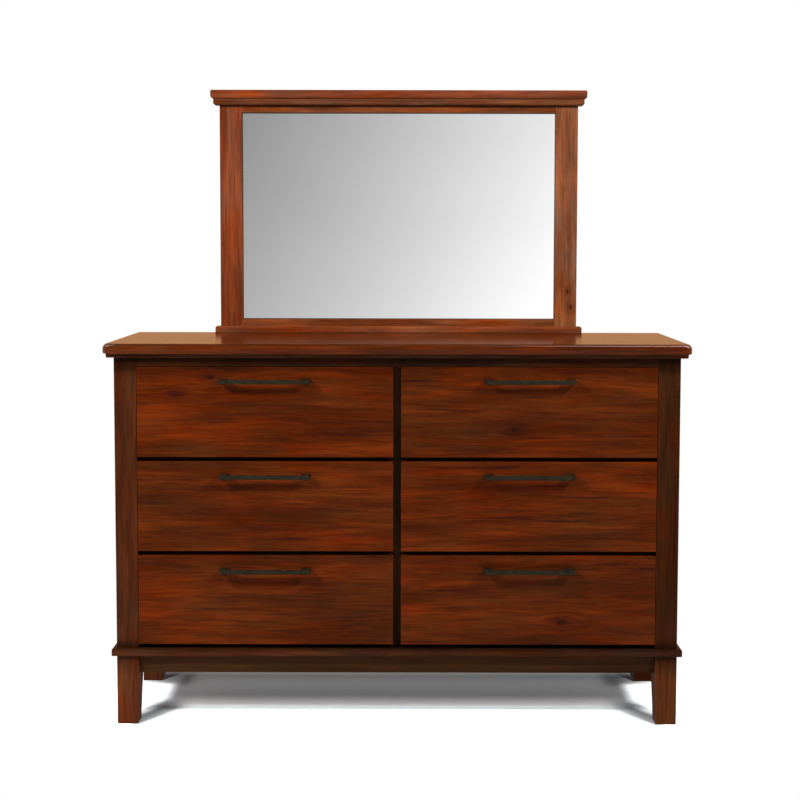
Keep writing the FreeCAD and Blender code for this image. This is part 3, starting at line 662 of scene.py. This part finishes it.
closed = put(run_tree, "GeometryNodeMergeByDistance", {
    "Geometry": joined.outputs[0], "Distance": WELD,
}).outputs[0]
where = put(run_tree, "GeometryNodeInputPosition").outputs[0]
marked = put(run_tree, "GeometryNodeStoreNamedAttribute", {
    "Geometry": closed, "Name": "grain", "Value": where,
}, data_type="FLOAT_VECTOR", domain="POINT").outputs[0]
axes = split(run_tree, where)
to_right = reckon(run_tree, "GREATER_THAN", axes["X"], 0.0)
right_shear = times(run_tree, to_right, given["Right mitre"])
left_shear = times(run_tree, reckon(run_tree, "SUBTRACT", 1.0, to_right), given["Left mitre"])
shear = times(run_tree, reckon(run_tree, "SUBTRACT", left_shear, right_shear), axes["Y"])
mitred = put(run_tree, "GeometryNodeSetPosition", {
    "Geometry": marked, "Offset": join(run_tree, shear),
}).outputs[0]
placed = put(run_tree, "GeometryNodeTransform", {
    "Geometry": mitred, "Translation": given["Place"], "Rotation": join(run_tree, z=given["Turn"]),
}).outputs[0]


def end_tree(tree, geometry, material, result):
    """Ends a geometry tree: its copies become mesh, and the mesh gets its material."""
    real = put(tree, "GeometryNodeRealizeInstances", {"Geometry": geometry}).outputs[0]
    dressed = put(tree, "GeometryNodeSetMaterial", {"Geometry": real, "Material": material})
    tree.links.new(dressed.outputs[0], result)


end_tree(run_tree, placed, given["Material"], wanted["Geometry"])
print("Moulding tree:", len(run_tree.nodes), "nodes")

# %% [markdown]
# A few helpers turn a node tree's result into a plain mesh. Inputs are set by each socket's
# identifier before the object is first evaluated, and the helper object is removed after.

# %% Helpers: from node tree to mesh
def helper_object(mesh):
    """An object that carries a mesh while its modifiers work."""
    helper = bpy.data.objects.new("helper", mesh)
    bpy.context.scene.collection.objects.link(helper)
    return helper


def settled(helper):
    """The plain mesh that a helper's modifiers make. The helper is removed."""
    graph = bpy.context.evaluated_depsgraph_get()
    mesh = bpy.data.meshes.new_from_object(
        helper.evaluated_get(graph), preserve_all_data_layers=True, depsgraph=graph)
    bpy.data.objects.remove(helper)
    return mesh


def grown(tree, base, settings):
    """The mesh that a geometry tree makes from a base mesh with those settings."""
    helper = helper_object(base)
    modifier = helper.modifiers.new("tree", "NODES")
    modifier.node_group = tree
    for item in tree.interface.items_tree:
        if item.item_type == "SOCKET" and item.in_out == "INPUT" and item.name in settings:
            modifier[item.identifier] = settings[item.name]
    return settled(helper)

# %% [markdown]
# A finished piece is one mesh with its faces outwards. It rides on a body, so that it moves
# with its drawer, and the CAD nodes that it stands for are hidden.

# %% Helpers: from mesh to piece
SHARP = math.radians(32)


def one_mesh(name, meshes):
    """Several meshes as one, with faces outwards and smooth except at sharp edges."""
    build = bmesh.new()
    for mesh in meshes:
        build.from_mesh(mesh)
    bmesh.ops.recalc_face_normals(build, faces=build.faces)
    whole = bpy.data.meshes.new(name)
    build.to_mesh(whole)
    build.free()
    for material in meshes[0].materials:
        whole.materials.append(material)
    whole.polygons.foreach_set("use_smooth", [True] * len(whole.polygons))
    whole.set_sharp_from_angle(angle=SHARP)
    return whole


def piece(mesh, body, slot, *replaced):
    """Makes a finished piece on its body and hides the CAD nodes it stands for. The slot is not used."""
    made = bpy.data.objects.new(mesh.name, mesh)
    bpy.context.scene.collection.objects.link(made)
    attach(made, body)
    if replaced:
        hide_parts(*replaced)
    print(mesh.name, "on", body, "with", len(mesh.polygons), "faces")

# %% [markdown]
# Both mouldings of the case wrap its front and its two ends. A profile is drawn in the plane of
# Y and Z, with its rounds as arcs, and one function makes the three runs with their mitres.

# %% Helpers: profiles and runs
case_low, case_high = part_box("front_posts")
low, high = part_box("base_moulding")
case_width = case_high.x - case_low.x
case_depth = high.y - case_low.y
middle_y = (high.y + case_low.y) / 2


def outline_mesh(points):
    """A flat outline in the plane of Y and Z."""
    mesh = bpy.data.meshes.new("profile")
    mesh.from_pydata([(0.0, y, z) for y, z in points], [], [range(len(points))])
    return mesh


def quarter(centre, size, begin, end, steps=8):
    """Points on a quarter of an ellipse, by angle in degrees."""
    turned = [math.radians(begin + (end - begin) * step / steps) for step in range(steps + 1)]
    return [(centre[0] + size[0] * math.cos(a), centre[1] + size[1] * math.sin(a)) for a in turned]


def moulding_run(profile, material, length, left, right, turn, place):
    """One run with its two mitres, its turn and the place of its middle."""
    return grown(run_tree, profile, {
        "Length": length, "Left mitre": left, "Right mitre": right, "Turn": turn, "Place": place,
        "Material": material,
    })


def wrapped(profile, material, z):
    """The front run and the two end runs of a moulding round the case."""
    runs = (
        (case_width, 1.0, 1.0, 0.0, (0.0, case_low.y, z)),
        (case_depth, 0.0, 1.0, -math.pi / 2, (case_low.x, middle_y, z)),
        (case_depth, 1.0, 0.0, math.pi / 2, (case_high.x, middle_y, z)),
    )
    return [moulding_run(profile, material, *run) for run in runs]


print("Case:", case_width, "m wide and", case_depth, "m deep")

# %% [markdown]
# The base moulding is a flat strip with a round on its upper edge and a smaller one below. It
# wraps the front and both ends of the case and stops at the rear. Its colour carries painted
# light and shade: it is painted darker towards the right, where the light is weaker, and in the
# upper part of its face, where the drawers above would shade it.

# %% Base moulding
UPPER_ROUND, LOWER_ROUND = 0.004, 0.0035
BASE_TONE = ((48, 23, 10), (56, 28, 12), (64, 33, 15), (36, 17, 8), (80, 42, 20))
# Painted light and shade: darker to the right and in the upper part of the face
BASE_PAINTED_LIGHT = ends((1.7, 1.65, 1.6), (0.82, 0.84, 0.95), (0.011, 0.0195, 0.5, 0.5))
rise = high.z - low.z
front = low.y - case_low.y
base_profile = outline_mesh(
    [(0.0, 0.0), (0.0, rise)]
    + quarter((front + UPPER_ROUND, rise - UPPER_ROUND), (UPPER_ROUND, UPPER_ROUND), 90, 180)
    + quarter((front + LOWER_ROUND, LOWER_ROUND), (LOWER_ROUND, LOWER_ROUND), 180, 270)
)
base_stain = stained("base moulding stain", BASE_TONE, 62.0, attribute="grain", painted_light_and_tint=BASE_PAINTED_LIGHT)
base_trim = one_mesh("base_moulding_trim", wrapped(base_profile, base_stain, low.z))
piece(base_trim, "case", "case_wood", "base_moulding")

# %% [markdown]
# The moulding under the top is a plain strip with a rounded lower edge. It sits in the shadow
# of the top, so only its outer part shows, and a short strip closes it at the rear.

# %% Moulding under the top
STRIP_DEPTH = 0.058
STRIP_ROUND = 0.004
TRIM_TONE = ((56, 29, 16), (68, 36, 20), (82, 45, 26), (40, 20, 11), (90, 52, 30))
low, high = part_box("top_moulding")
drop = high.z - low.z
front = low.y - case_low.y
top_profile = outline_mesh(
    [(STRIP_DEPTH, 0.0), (STRIP_DEPTH, drop), (front, drop)]
    + quarter((front + STRIP_ROUND, STRIP_ROUND), (-STRIP_ROUND, -STRIP_ROUND), 0, 90, 6)
)
rear_profile = outline_mesh([(-STRIP_DEPTH, 0.0), (0.0, 0.0), (0.0, drop), (-STRIP_DEPTH, drop)])
top_stain = stained("top moulding stain", TRIM_TONE, 66.0, attribute="grain")
rear_run = moulding_run(
    rear_profile, top_stain, case_width - 2 * STRIP_DEPTH, 0.0, 0.0, 0.0, (0.0, high.y, low.z))
top_trim = one_mesh("top_moulding_trim", wrapped(top_profile, top_stain, low.z) + [rear_run])
piece(top_trim, "case", "case_wood", "top_moulding")

# %% [markdown]
# ## Pulls
#
# Each pull is one casting: a flat bar on two posts, with softened edges and a small fillet
# where the bar meets each post. Its plan is drawn once, with the fillets as arcs, raised to
# the bar's height, and a Bevel modifier softens the edges. The same plan serves each drawer.

# %% Bar pulls
PULL_BAR, PULL_POST = 0.009, 0.024
FILLET, CORNER, SOFT_EDGE = 0.005, 0.004, 0.0011


def pull_plan(length, projection):
    """The plan of a pull, with its middle at zero and its front at minus the projection."""
    inner, back = length / 2 - PULL_POST, PULL_BAR - projection
    right = [(length / 2, 0.0)]
    right += quarter((length / 2 - CORNER, CORNER - projection), (CORNER, -CORNER), 0, 90, 6)
    far = quarter((inner - FILLET, back + FILLET), (FILLET, -FILLET), 90, 0, 6)
    far.append((inner, 0.0))
    return right + [(-x, y) for x, y in reversed(right)] + [(-x, y) for x, y in reversed(far)] + far


def pull_mesh(name, centre, height, plan):
    """The plan raised to a solid, with bevelled edges."""
    x0, y0, z0 = centre
    build = bmesh.new()
    under = build.faces.new([build.verts.new((x0 + x, y0 + y, z0 - height / 2)) for x, y in plan])
    raised = bmesh.ops.extrude_face_region(build, geom=[under])["geom"]
    upper = [part for part in raised if isinstance(part, bmesh.types.BMVert)]
    bmesh.ops.translate(build, vec=(0.0, 0.0, height), verts=upper)
    bmesh.ops.recalc_face_normals(build, faces=build.faces)
    mesh = bpy.data.meshes.new(name + "_plain")
    build.to_mesh(mesh)
    build.free()
    helper = helper_object(mesh)
    soft = helper.modifiers.new("soft edges", "BEVEL")
    soft.width = SOFT_EDGE
    soft.segments = 3
    soft.limit_method = "ANGLE"
    soft.angle_limit = math.radians(50)
    bevelled = settled(helper)
    bevelled.materials.append(bronze)
    return one_mesh(name, [bevelled])


for drawer in DRAWERS:
    low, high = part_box(f"{drawer}_drawer_pull")
    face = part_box(f"{drawer}_drawer_front")[0].y
    plan = pull_plan(high.x - low.x, face - low.y)
    centre = ((low.x + high.x) / 2, face, (low.z + high.z) / 2)
    mesh = pull_mesh(f"{drawer}_pull", centre, high.z - low.z, plan)
    piece(mesh, f"{drawer}_drawer", "pull_bronze", f"{drawer}_drawer_pull")

# %% [markdown]
# ## Screws and brads
#
# Fasteners repeat, so one head is modelled and Geometry Nodes sets a copy on every point. The
# points carry the direction that they face, and a seeded spin turns the cross slots, as no
# two screws stop at the same angle. Copies stay light until Realize Instances makes them mesh.

# %% Geometry nodes: heads on points
heads_tree, given, wanted = new_group(
    "Heads on points", "GeometryNodeTree",
    {"Geometry": "Geometry", "Head": "Object", "Radius": "Float", "Seed": "Int", "Material": "Material"},
    {"Geometry": "Geometry"},
)
stored = put(heads_tree, "GeometryNodeInputNamedAttribute", {"Name": "facing"}, data_type="FLOAT_VECTOR")
facing = in_use(stored.outputs, "Attribute")
upright = put(heads_tree, "FunctionNodeAlignRotationToVector", {"Vector": facing}, axis="Z").outputs[0]
chance = put(heads_tree, "FunctionNodeRandomValue", {
    "Min": 0.0, "Max": math.tau, "Seed": given["Seed"],
}, data_type="FLOAT")
spin = put(heads_tree, "FunctionNodeAxisAngleToRotation", {
    "Axis": (0.0, 0.0, 1.0), "Angle": in_use(chance.outputs, "Value"),
}).outputs[0]
spun = put(heads_tree, "FunctionNodeRotateRotation", {
    "Rotation": upright, "Rotate By": spin,
}, rotation_space="LOCAL").outputs[0]
head = put(heads_tree, "GeometryNodeObjectInfo", {"Object": given["Head"]}).outputs["Geometry"]
copies = put(heads_tree, "GeometryNodeInstanceOnPoints", {
    "Points": given["Geometry"], "Instance": head, "Rotation": spun, "Scale": given["Radius"],
}).outputs[0]
end_tree(heads_tree, copies, given["Material"], wanted["Geometry"])
print("Heads tree:", len(heads_tree.nodes), "nodes")

# %% [markdown]
# A pan head is a low dome with a cross slot. The head is a round grid of rings, one unit in
# radius, and the grid points that lie in the cross sink. A brad's head is the same grid with
# no cross and less height.

# %% Heads
RINGS = (0.14, 0.3, 0.46, 0.58, 0.62, 0.8, 0.93, 1.0, 1.0)
SIDES = 24
DOME_FALL = 0.45
CROSS_HALF, CROSS_REACH = 0.17, 0.6


def head_mesh(name, rise, slot):
    """A round head of radius one: rings from the middle out, with a cross slot of that depth."""
    build = bmesh.new()

    def level(radius, x, y):
        in_cross = min(abs(x), abs(y)) < CROSS_HALF and radius < CROSS_REACH
        return rise * (1 - DOME_FALL * radius ** 4) - (slot if in_cross else 0.0)

    loops = []
    for ring, radius in enumerate(RINGS, start=1):
        angles = [math.tau * side / SIDES for side in range(SIDES)]
        spots = [(radius * math.cos(angle), radius * math.sin(angle)) for angle in angles]
        foot = ring == len(RINGS)
        loops.append([build.verts.new((x, y, 0.0 if foot else level(radius, x, y))) for x, y in spots])
    build.faces.new(loops[0])
    for inner, outer in zip(loops, loops[1:]):
        for side in range(SIDES):
            following = (side + 1) % SIDES
            build.faces.new((inner[side], outer[side], outer[following], inner[following]))
    build.faces.new(list(reversed(loops[-1])))
    mesh = bpy.data.meshes.new(name)
    build.to_mesh(mesh)
    build.free()
    return bpy.data.objects.new(name, mesh)


pan_head = head_mesh("pan_head", 0.55, 0.32)
brad_head = head_mesh("brad_head", 0.3, 0.0)
print("Heads:", pan_head.name, "and", brad_head.name, "with", len(pan_head.data.polygons), "faces each")


def heads(name, body, head, radius, seed, points, *replaced):
    """One piece with a head on every point. Each point is a place and the way that it faces."""
    base = bpy.data.meshes.new("points")
    base.from_pydata([place for place, _ in points], [], [])
    directions = base.attributes.new("facing", "FLOAT_VECTOR", "POINT")
    directions.data.foreach_set("vector", [part for _, way in points for part in way])
    settings = {"Head": head, "Radius": radius, "Seed": seed, "Material": screw_steel}
    piece(one_mesh(name, [grown(heads_tree, base, settings)]), body, "screw_steel", *replaced)

# %% [markdown]
# Two screws hold each pull from inside its drawer, and three on each side fix the slide to the
# drawer box. They ride with the drawer, so each drawer has a piece of its own.

# %% Screws of the drawers
SCREW_RADIUS = 0.004
SLIDE_SHEET = 0.0015
BOX_END = 0.012
SLIDE_END = 0.03
REARWARDS = (0.0, 1.0, 0.0)
for seed, drawer in enumerate(DRAWERS, start=1):
    low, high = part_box(f"{drawer}_drawer_pull")
    row_z = (low.z + high.z) / 2
    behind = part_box(f"{drawer}_drawer_ends")[0].y + BOX_END
    posts = (low.x + PULL_POST / 2, high.x - PULL_POST / 2)
    points = [((x, behind, row_z), REARWARDS) for x in posts]
    low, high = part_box(f"{drawer}_drawer_slides")
    box_low, box_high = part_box(f"{drawer}_drawer_sides")
    slide_z = (low.z + high.z) / 2
    for y in (low.y + SLIDE_END, (low.y + high.y) / 2, high.y - SLIDE_END):
        points.append(((box_low.x - SLIDE_SHEET, y, slide_z), (-1.0, 0.0, 0.0)))
        points.append(((box_high.x + SLIDE_SHEET, y, slide_z), (1.0, 0.0, 0.0)))
    heads(f"{drawer}_screws", f"{drawer}_drawer", pan_head, SCREW_RADIUS, seed, points)

# %% [markdown]
# In the case, screws fix the slide rails to the posts and the partition, and larger ones hold
# the mirror's two support bars. Brads, which are thin nails with small heads, hold the back.

# %% Screws and brads of the case
RAIL_END, RAIL_SHIFT, RAIL_WEB = 0.045, 0.02, 0.0018
points = []
for drawer in DRAWERS:
    low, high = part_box(f"{drawer}_drawer_slides")
    opening = (low.x + high.x) / 2
    for y in (low.y + RAIL_END, (low.y + high.y) / 2 + RAIL_SHIFT, high.y - RAIL_END):
        for side in (-1.0, 1.0):
            web = opening + side * ((high.x - low.x) / 2 + RAIL_WEB)
            points.append(((web, y, (low.z + high.z) / 2), (-side, 0.0, 0.0)))
heads("slide_rail_screws", "case", pan_head, SCREW_RADIUS, 21, points)

SUPPORT_RADIUS, SUPPORT_MIDDLE, SUPPORT_ENDS = 0.0045, 0.0225, (0.02, 0.065)
low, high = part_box("mirror_supports")
heights = [low.z + end for end in SUPPORT_ENDS] + [high.z - end for end in reversed(SUPPORT_ENDS)]
bars = (-(high.x - SUPPORT_MIDDLE), high.x - SUPPORT_MIDDLE)
points = [((x, high.y, z), REARWARDS) for x in bars for z in heights]
heads("support_bar_screws", "case", pan_head, SUPPORT_RADIUS, 31, points, "support_screws")

BRAD_RADIUS, BRAD_EDGE = 0.0022, 0.009
BRAD_START, BRAD_PITCH, BRAD_RISE = -0.64, 0.08, 0.075
low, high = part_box("back_panel")
points = [((BRAD_START + BRAD_PITCH * step, high.y, low.z + BRAD_EDGE), REARWARDS) for step in range(17)]
points += [((0.0, high.y, low.z + BRAD_RISE * step), REARWARDS) for step in range(1, 10)]
heads("back_brads", "case", brad_head, BRAD_RADIUS, 41, points)

# %% [markdown]
# ## Studio
#
# The dresser stands on white paper that runs out to a white surround. Near the dresser the
# paper is a real white surface that takes shadow; further out it turns to plain white, but only
# for the camera, so that it still throws back an even light everywhere else. Two floors would
# show a seam, so one material fades from the first to the second.

# %% Floor: paper
WHITE = (1.0, 1.0, 1.0, 1.0)
FLOOR_SIZE = 24.0
NEAR_HALF = (0.72, 0.17, 0.0)
FADE = 0.2
TOOTH_WAVES = (160.0, 160.0, 160.0)
bpy.ops.mesh.primitive_plane_add(size=FLOOR_SIZE, location=(0.0, 0.0, 0.0))
floor = bpy.context.object
floor.name = "studio_floor"
paper, tree = blank_material("white paper")
place = put(tree, "ShaderNodeTexCoord").outputs["Object"]
past = shift(tree, "SUBTRACT", shift(tree, "ABSOLUTE", place), NEAR_HALF)
beyond = shift(tree, "LENGTH", shift(tree, "MAXIMUM", past, (0.0, 0.0, 0.0)))
far = ease(tree, beyond, 0.0, FADE)
tooth = speckle(tree, shift(tree, "MULTIPLY", place, TOOTH_WAVES), 3.0, 3.0)
white = blend(tree, tooth, paint(244, 244, 244), paint(240, 240, 240))
print("Paper:", FLOOR_SIZE, "m wide, fading to plain white over", FADE, "m")

# %% [markdown]
# The paper's brightness is painted by place for the camera alone, as painted light and painted
# shade over the real shadow. Under the case it is painted brighter towards the front up to the
# shadow's edge, and darker by the rear feet. Beside the case it is full, but for a painted
# shadow that deepens the short line of shadow that each front foot throws inwards. `outward` is
# the distance from the middle to either side, `rearward` the distance from the middle to the
# back, and a step is two places and the painted exposures at them. Moving the lamps instead
# would change the light on the wood as well.

# %% Floor: painted exposure
UNDER_STEPS = ((0.05, 0.24, 3.6, 0.8), (0.03, -0.07, 1.0, 3.1), (-0.055, -0.08, 1.0, 0.2))
REAR_FEET = (((0.56, 0.63), (0.05, 0.14)), ((0.62, 0.66), (0.1, 0.14)))
REAR_FOOT_LEVEL = 0.45
FOOT_OUT, FOOT_BACK = 0.695, -0.147
LINE_OUT, LINE_BACK = 0.811, 0.585
FULL = 2.8
FOOT_TOUCH = (0.69, 0.72, 0.6, FULL)
LINE_EDGE = (-0.004, 0.022)
PAST_LINE = (-0.005, -0.08, 1.0, 3.6)
BENDS = ((0.0, -0.06, 0.0, 0.02), (0.08, 0.14, 0.0, -0.1))
CASE_EDGE = (0.56, 0.68)
across, rearward, _ = split(tree, place)
outward = reckon(tree, "ABSOLUTE", across)
under = times(tree, *[ease(tree, rearward, *step) for step in UNDER_STEPS])
for out, back in REAR_FEET:
    by_foot = times(tree, ease(tree, outward, *out), ease(tree, rearward, *back))
    under = times(tree, under, ease(tree, by_foot, 0.0, 1.0, 1.0, REAR_FOOT_LEVEL))
out_part = times(tree, reckon(tree, "SUBTRACT", outward, FOOT_OUT), LINE_OUT)
back_part = times(tree, reckon(tree, "SUBTRACT", rearward, FOOT_BACK), LINE_BACK)
from_line = reckon(tree, "ADD", out_part, back_part)
touch = ease(tree, outward, *FOOT_TOUCH)
beside = times(tree, ease(tree, from_line, *LINE_EDGE, touch, FULL), ease(tree, from_line, *PAST_LINE))
bend = reckon(tree, "ADD", *[ease(tree, rearward, *step) for step in BENDS])
painted_exposure = ease(tree, reckon(tree, "ADD", outward, bend), *CASE_EDGE, under, beside)
print("Exposure:", len(UNDER_STEPS), "steps under the case, and up to", FULL, "beside it")

# %% [markdown]
# The wood throws a warm light into the shadow, and the shadow is painted a little cooler against
# it. Then each kind of ray gets its floor: the camera sees the paper with its painted light and
# shade, and plain white further out, the lacquer sees it dim, as it would see a room's floor, and
# all other light meets plain white paper.

# %% Floor: what each ray sees
COOL_FROM, COOL_TINT = (0.16, 0.04), (0.95, 1.0, 1.02, 1.0)
DIM_NEAR, DIM_FAR = 0.15, 0.5
path = put(tree, "ShaderNodeLightPath").outputs
cool = blend(tree, ease(tree, rearward, *COOL_FROM), WHITE, COOL_TINT)
bright = tinted(tree, tinted(tree, white, cool), painted_exposure)
paper_with_painted_light = blend(tree, path["Is Camera Ray"], white, bright)
surface = put(tree, "ShaderNodeBsdfDiffuse", {"Color": paper_with_painted_light})
plain = put(tree, "ShaderNodeEmission", {"Color": WHITE, "Strength": 1.0})
seen = times(tree, far, path["Is Camera Ray"])
lit = put(tree, "ShaderNodeMixShader", {0: seen, 1: surface.outputs[0], 2: plain.outputs[0]})
seen_in_gloss = ease(tree, far, 0.0, 1.0, DIM_NEAR, DIM_FAR)
dim = put(tree, "ShaderNodeEmission", {"Color": WHITE, "Strength": seen_in_gloss})
both = put(tree, "ShaderNodeMixShader", {0: path["Is Glossy Ray"], 1: lit.outputs[0], 2: dim.outputs[0]})
put(tree, "ShaderNodeOutputMaterial", {"Surface": both.outputs[0]})
floor.data.materials.append(paper)
print("Floor material:", len(tree.nodes), "nodes")

# %% [markdown]
# The surround is what the mirror and the lacquer reflect. Ahead it is a lit wall that shades
# from grey at the upper left to white at the lower right, and behind the dresser it is warm,
# which the lacquered top picks up at its low angle. A strip of light hangs high over each side
# and draws the lines of light on rounded edges and corners. Cards and walls of mesh would do
# the same, but they would also shade the room.

# %% Surround: what reflections see
WALL_SLOPE = (1.31, -0.693)
WALL_LEVEL, WALL_POWER, WALL_GAIN = 0.825, 2.45, 1.107
SIDE_GREY, WARM_REAR = (0.15, 0.15, 0.15, 1.0), (0.79, 0.405, 0.185, 1.0)
AHEAD, BEHIND = (-0.955, -0.985), (-0.2, 0.3)
STRIP_SLOPE, STRIP_PLACE, STRIP_EDGE = (0.91, 0.4), 0.06, (0.2, 0.1)
STRIP_HEIGHT, RIGHT_STRIP, LEFT_STRIP = (0.34, 0.48), (0.06, 0.18), (-0.24, -0.34)
LEFT_TO_RIGHT = (-0.1, 0.1)
LEFT_GLARE, RIGHT_GLARE = (8.0, 7.6, 7.2, 1.0), (18.0, 17.6, 17.2, 1.0)
world = bpy.data.worlds.new("studio")
bpy.context.scene.world = world
world.use_nodes = True
tree = world.node_tree
tree.nodes.clear()
way = split(tree, put(tree, "ShaderNodeTexCoord").outputs["Generated"])
slope = reckon(tree, "ADD", times(tree, way["X"], WALL_SLOPE[0]), times(tree, way["Z"], WALL_SLOPE[1]))
tone = put(tree, "ShaderNodeMapRange", {
    "Value": reckon(tree, "ADD", slope, WALL_LEVEL),
    "From Min": 0.5, "From Max": 1.0, "To Min": 0.5, "To Max": 1.0,
}).outputs[0]
wall = times(tree, reckon(tree, "POWER", tone, WALL_POWER), WALL_GAIN)
shown = blend(tree, ease(tree, way["Y"], *AHEAD), SIDE_GREY, wall)
shown = blend(tree, ease(tree, way["Y"], *BEHIND), shown, WARM_REAR)
sideways = reckon(tree, "ABSOLUTE", way["X"])
off_strip = reckon(tree, "SUBTRACT", times(tree, way["Y"], STRIP_SLOPE[0]),
                   times(tree, sideways, STRIP_SLOPE[1]))
nearness = reckon(tree, "ABSOLUTE", reckon(tree, "ADD", off_strip, STRIP_PLACE))
to_side = reckon(tree, "MAXIMUM", ease(tree, way["X"], *RIGHT_STRIP), ease(tree, way["X"], *LEFT_STRIP))
strips = times(tree, ease(tree, nearness, *STRIP_EDGE), to_side, ease(tree, way["Z"], *STRIP_HEIGHT))
glare = blend(tree, ease(tree, way["X"], *LEFT_TO_RIGHT), LEFT_GLARE, RIGHT_GLARE)
shown = blend(tree, strips, shown, glare)
print("Surround for reflections:", len(tree.nodes), "nodes")

# %% [markdown]
# The camera sees the surround as plain white, and the light that it gives is a plain low fill.
# Only reflections and glass see the shaped one, through the Light Path node.

# %% Surround: what each ray sees
FILL = 0.2
path = put(tree, "ShaderNodeLightPath").outputs
fill = put(tree, "ShaderNodeBackground", {"Color": WHITE, "Strength": FILL})
mirrored = put(tree, "ShaderNodeBackground", {"Color": shown, "Strength": 1.0})
blank = put(tree, "ShaderNodeBackground", {"Color": WHITE, "Strength": 1.0})
shiny = reckon(tree, "MAXIMUM", path["Is Glossy Ray"], path["Is Transmission Ray"])
first = put(tree, "ShaderNodeMixShader", {0: shiny, 1: fill.outputs[0], 2: mirrored.outputs[0]})
second = put(tree, "ShaderNodeMixShader", {
    0: path["Is Camera Ray"], 1: first.outputs[0], 2: blank.outputs[0],
})
put(tree, "ShaderNodeOutputWorld", {"Surface": second.outputs[0]})
print("Surround:", len(tree.nodes), "nodes, fill", FILL)

# %% [markdown]
# Two square softboxes, 0.6 m wide, stand in front, high at the left and at the right. The short
# shadows under the pulls point away from the nearer one, which is how their places were found.
# Reflections don't see them, because the strips of the surround already draw those lights.

# %% Lamps
SOFTBOX = 0.6
LAMPS = {
    "left softbox": ((-2.2, -2.1, 2.62), (-0.3, 0.0, 0.75), 92.0),
    "right softbox": ((2.2, -2.1, 2.85), (0.3, 0.0, 0.75), 84.0),
}
for name, (place, target, power) in LAMPS.items():
    lamp = bpy.data.lights.new(name, "AREA")
    lamp.shape = "SQUARE"
    lamp.size = SOFTBOX
    lamp.energy = power
    stand = bpy.data.objects.new(name, lamp)
    stand.location = place
    stand.visible_glossy = False
    stand.rotation_euler = (Vector(target) - Vector(place)).to_track_quat("-Z", "Y").to_euler()
    bpy.context.scene.collection.objects.link(stand)
    print(name, "of", power, "W at", place)

# %% [markdown]
# The camera stands almost in front of the middle, a little above the top of the dresser, and
# looks slightly down. Its lens, shift and small roll come from fitting the edges of the case.

# %% Camera
LOOK_DOWN, ROLL = 3.457, -0.109
lens = bpy.data.cameras.new("camera")
lens.lens = 58.387
lens.sensor_width = 36.0
lens.shift_x = -0.01136
lens.shift_y = -0.10198
lens.clip_end = 60.0
camera = bpy.data.objects.new("camera", lens)
camera.location = (0.03, -3.55585, 1.27744)
camera.rotation_euler = (math.radians(90 - LOOK_DOWN), math.radians(ROLL), 0.0)
bpy.context.scene.collection.objects.link(camera)
bpy.context.scene.camera = camera
bpy.context.scene.view_settings.view_transform = "Standard"
print("Camera:", lens.lens, "mm lens at", tuple(camera.location))
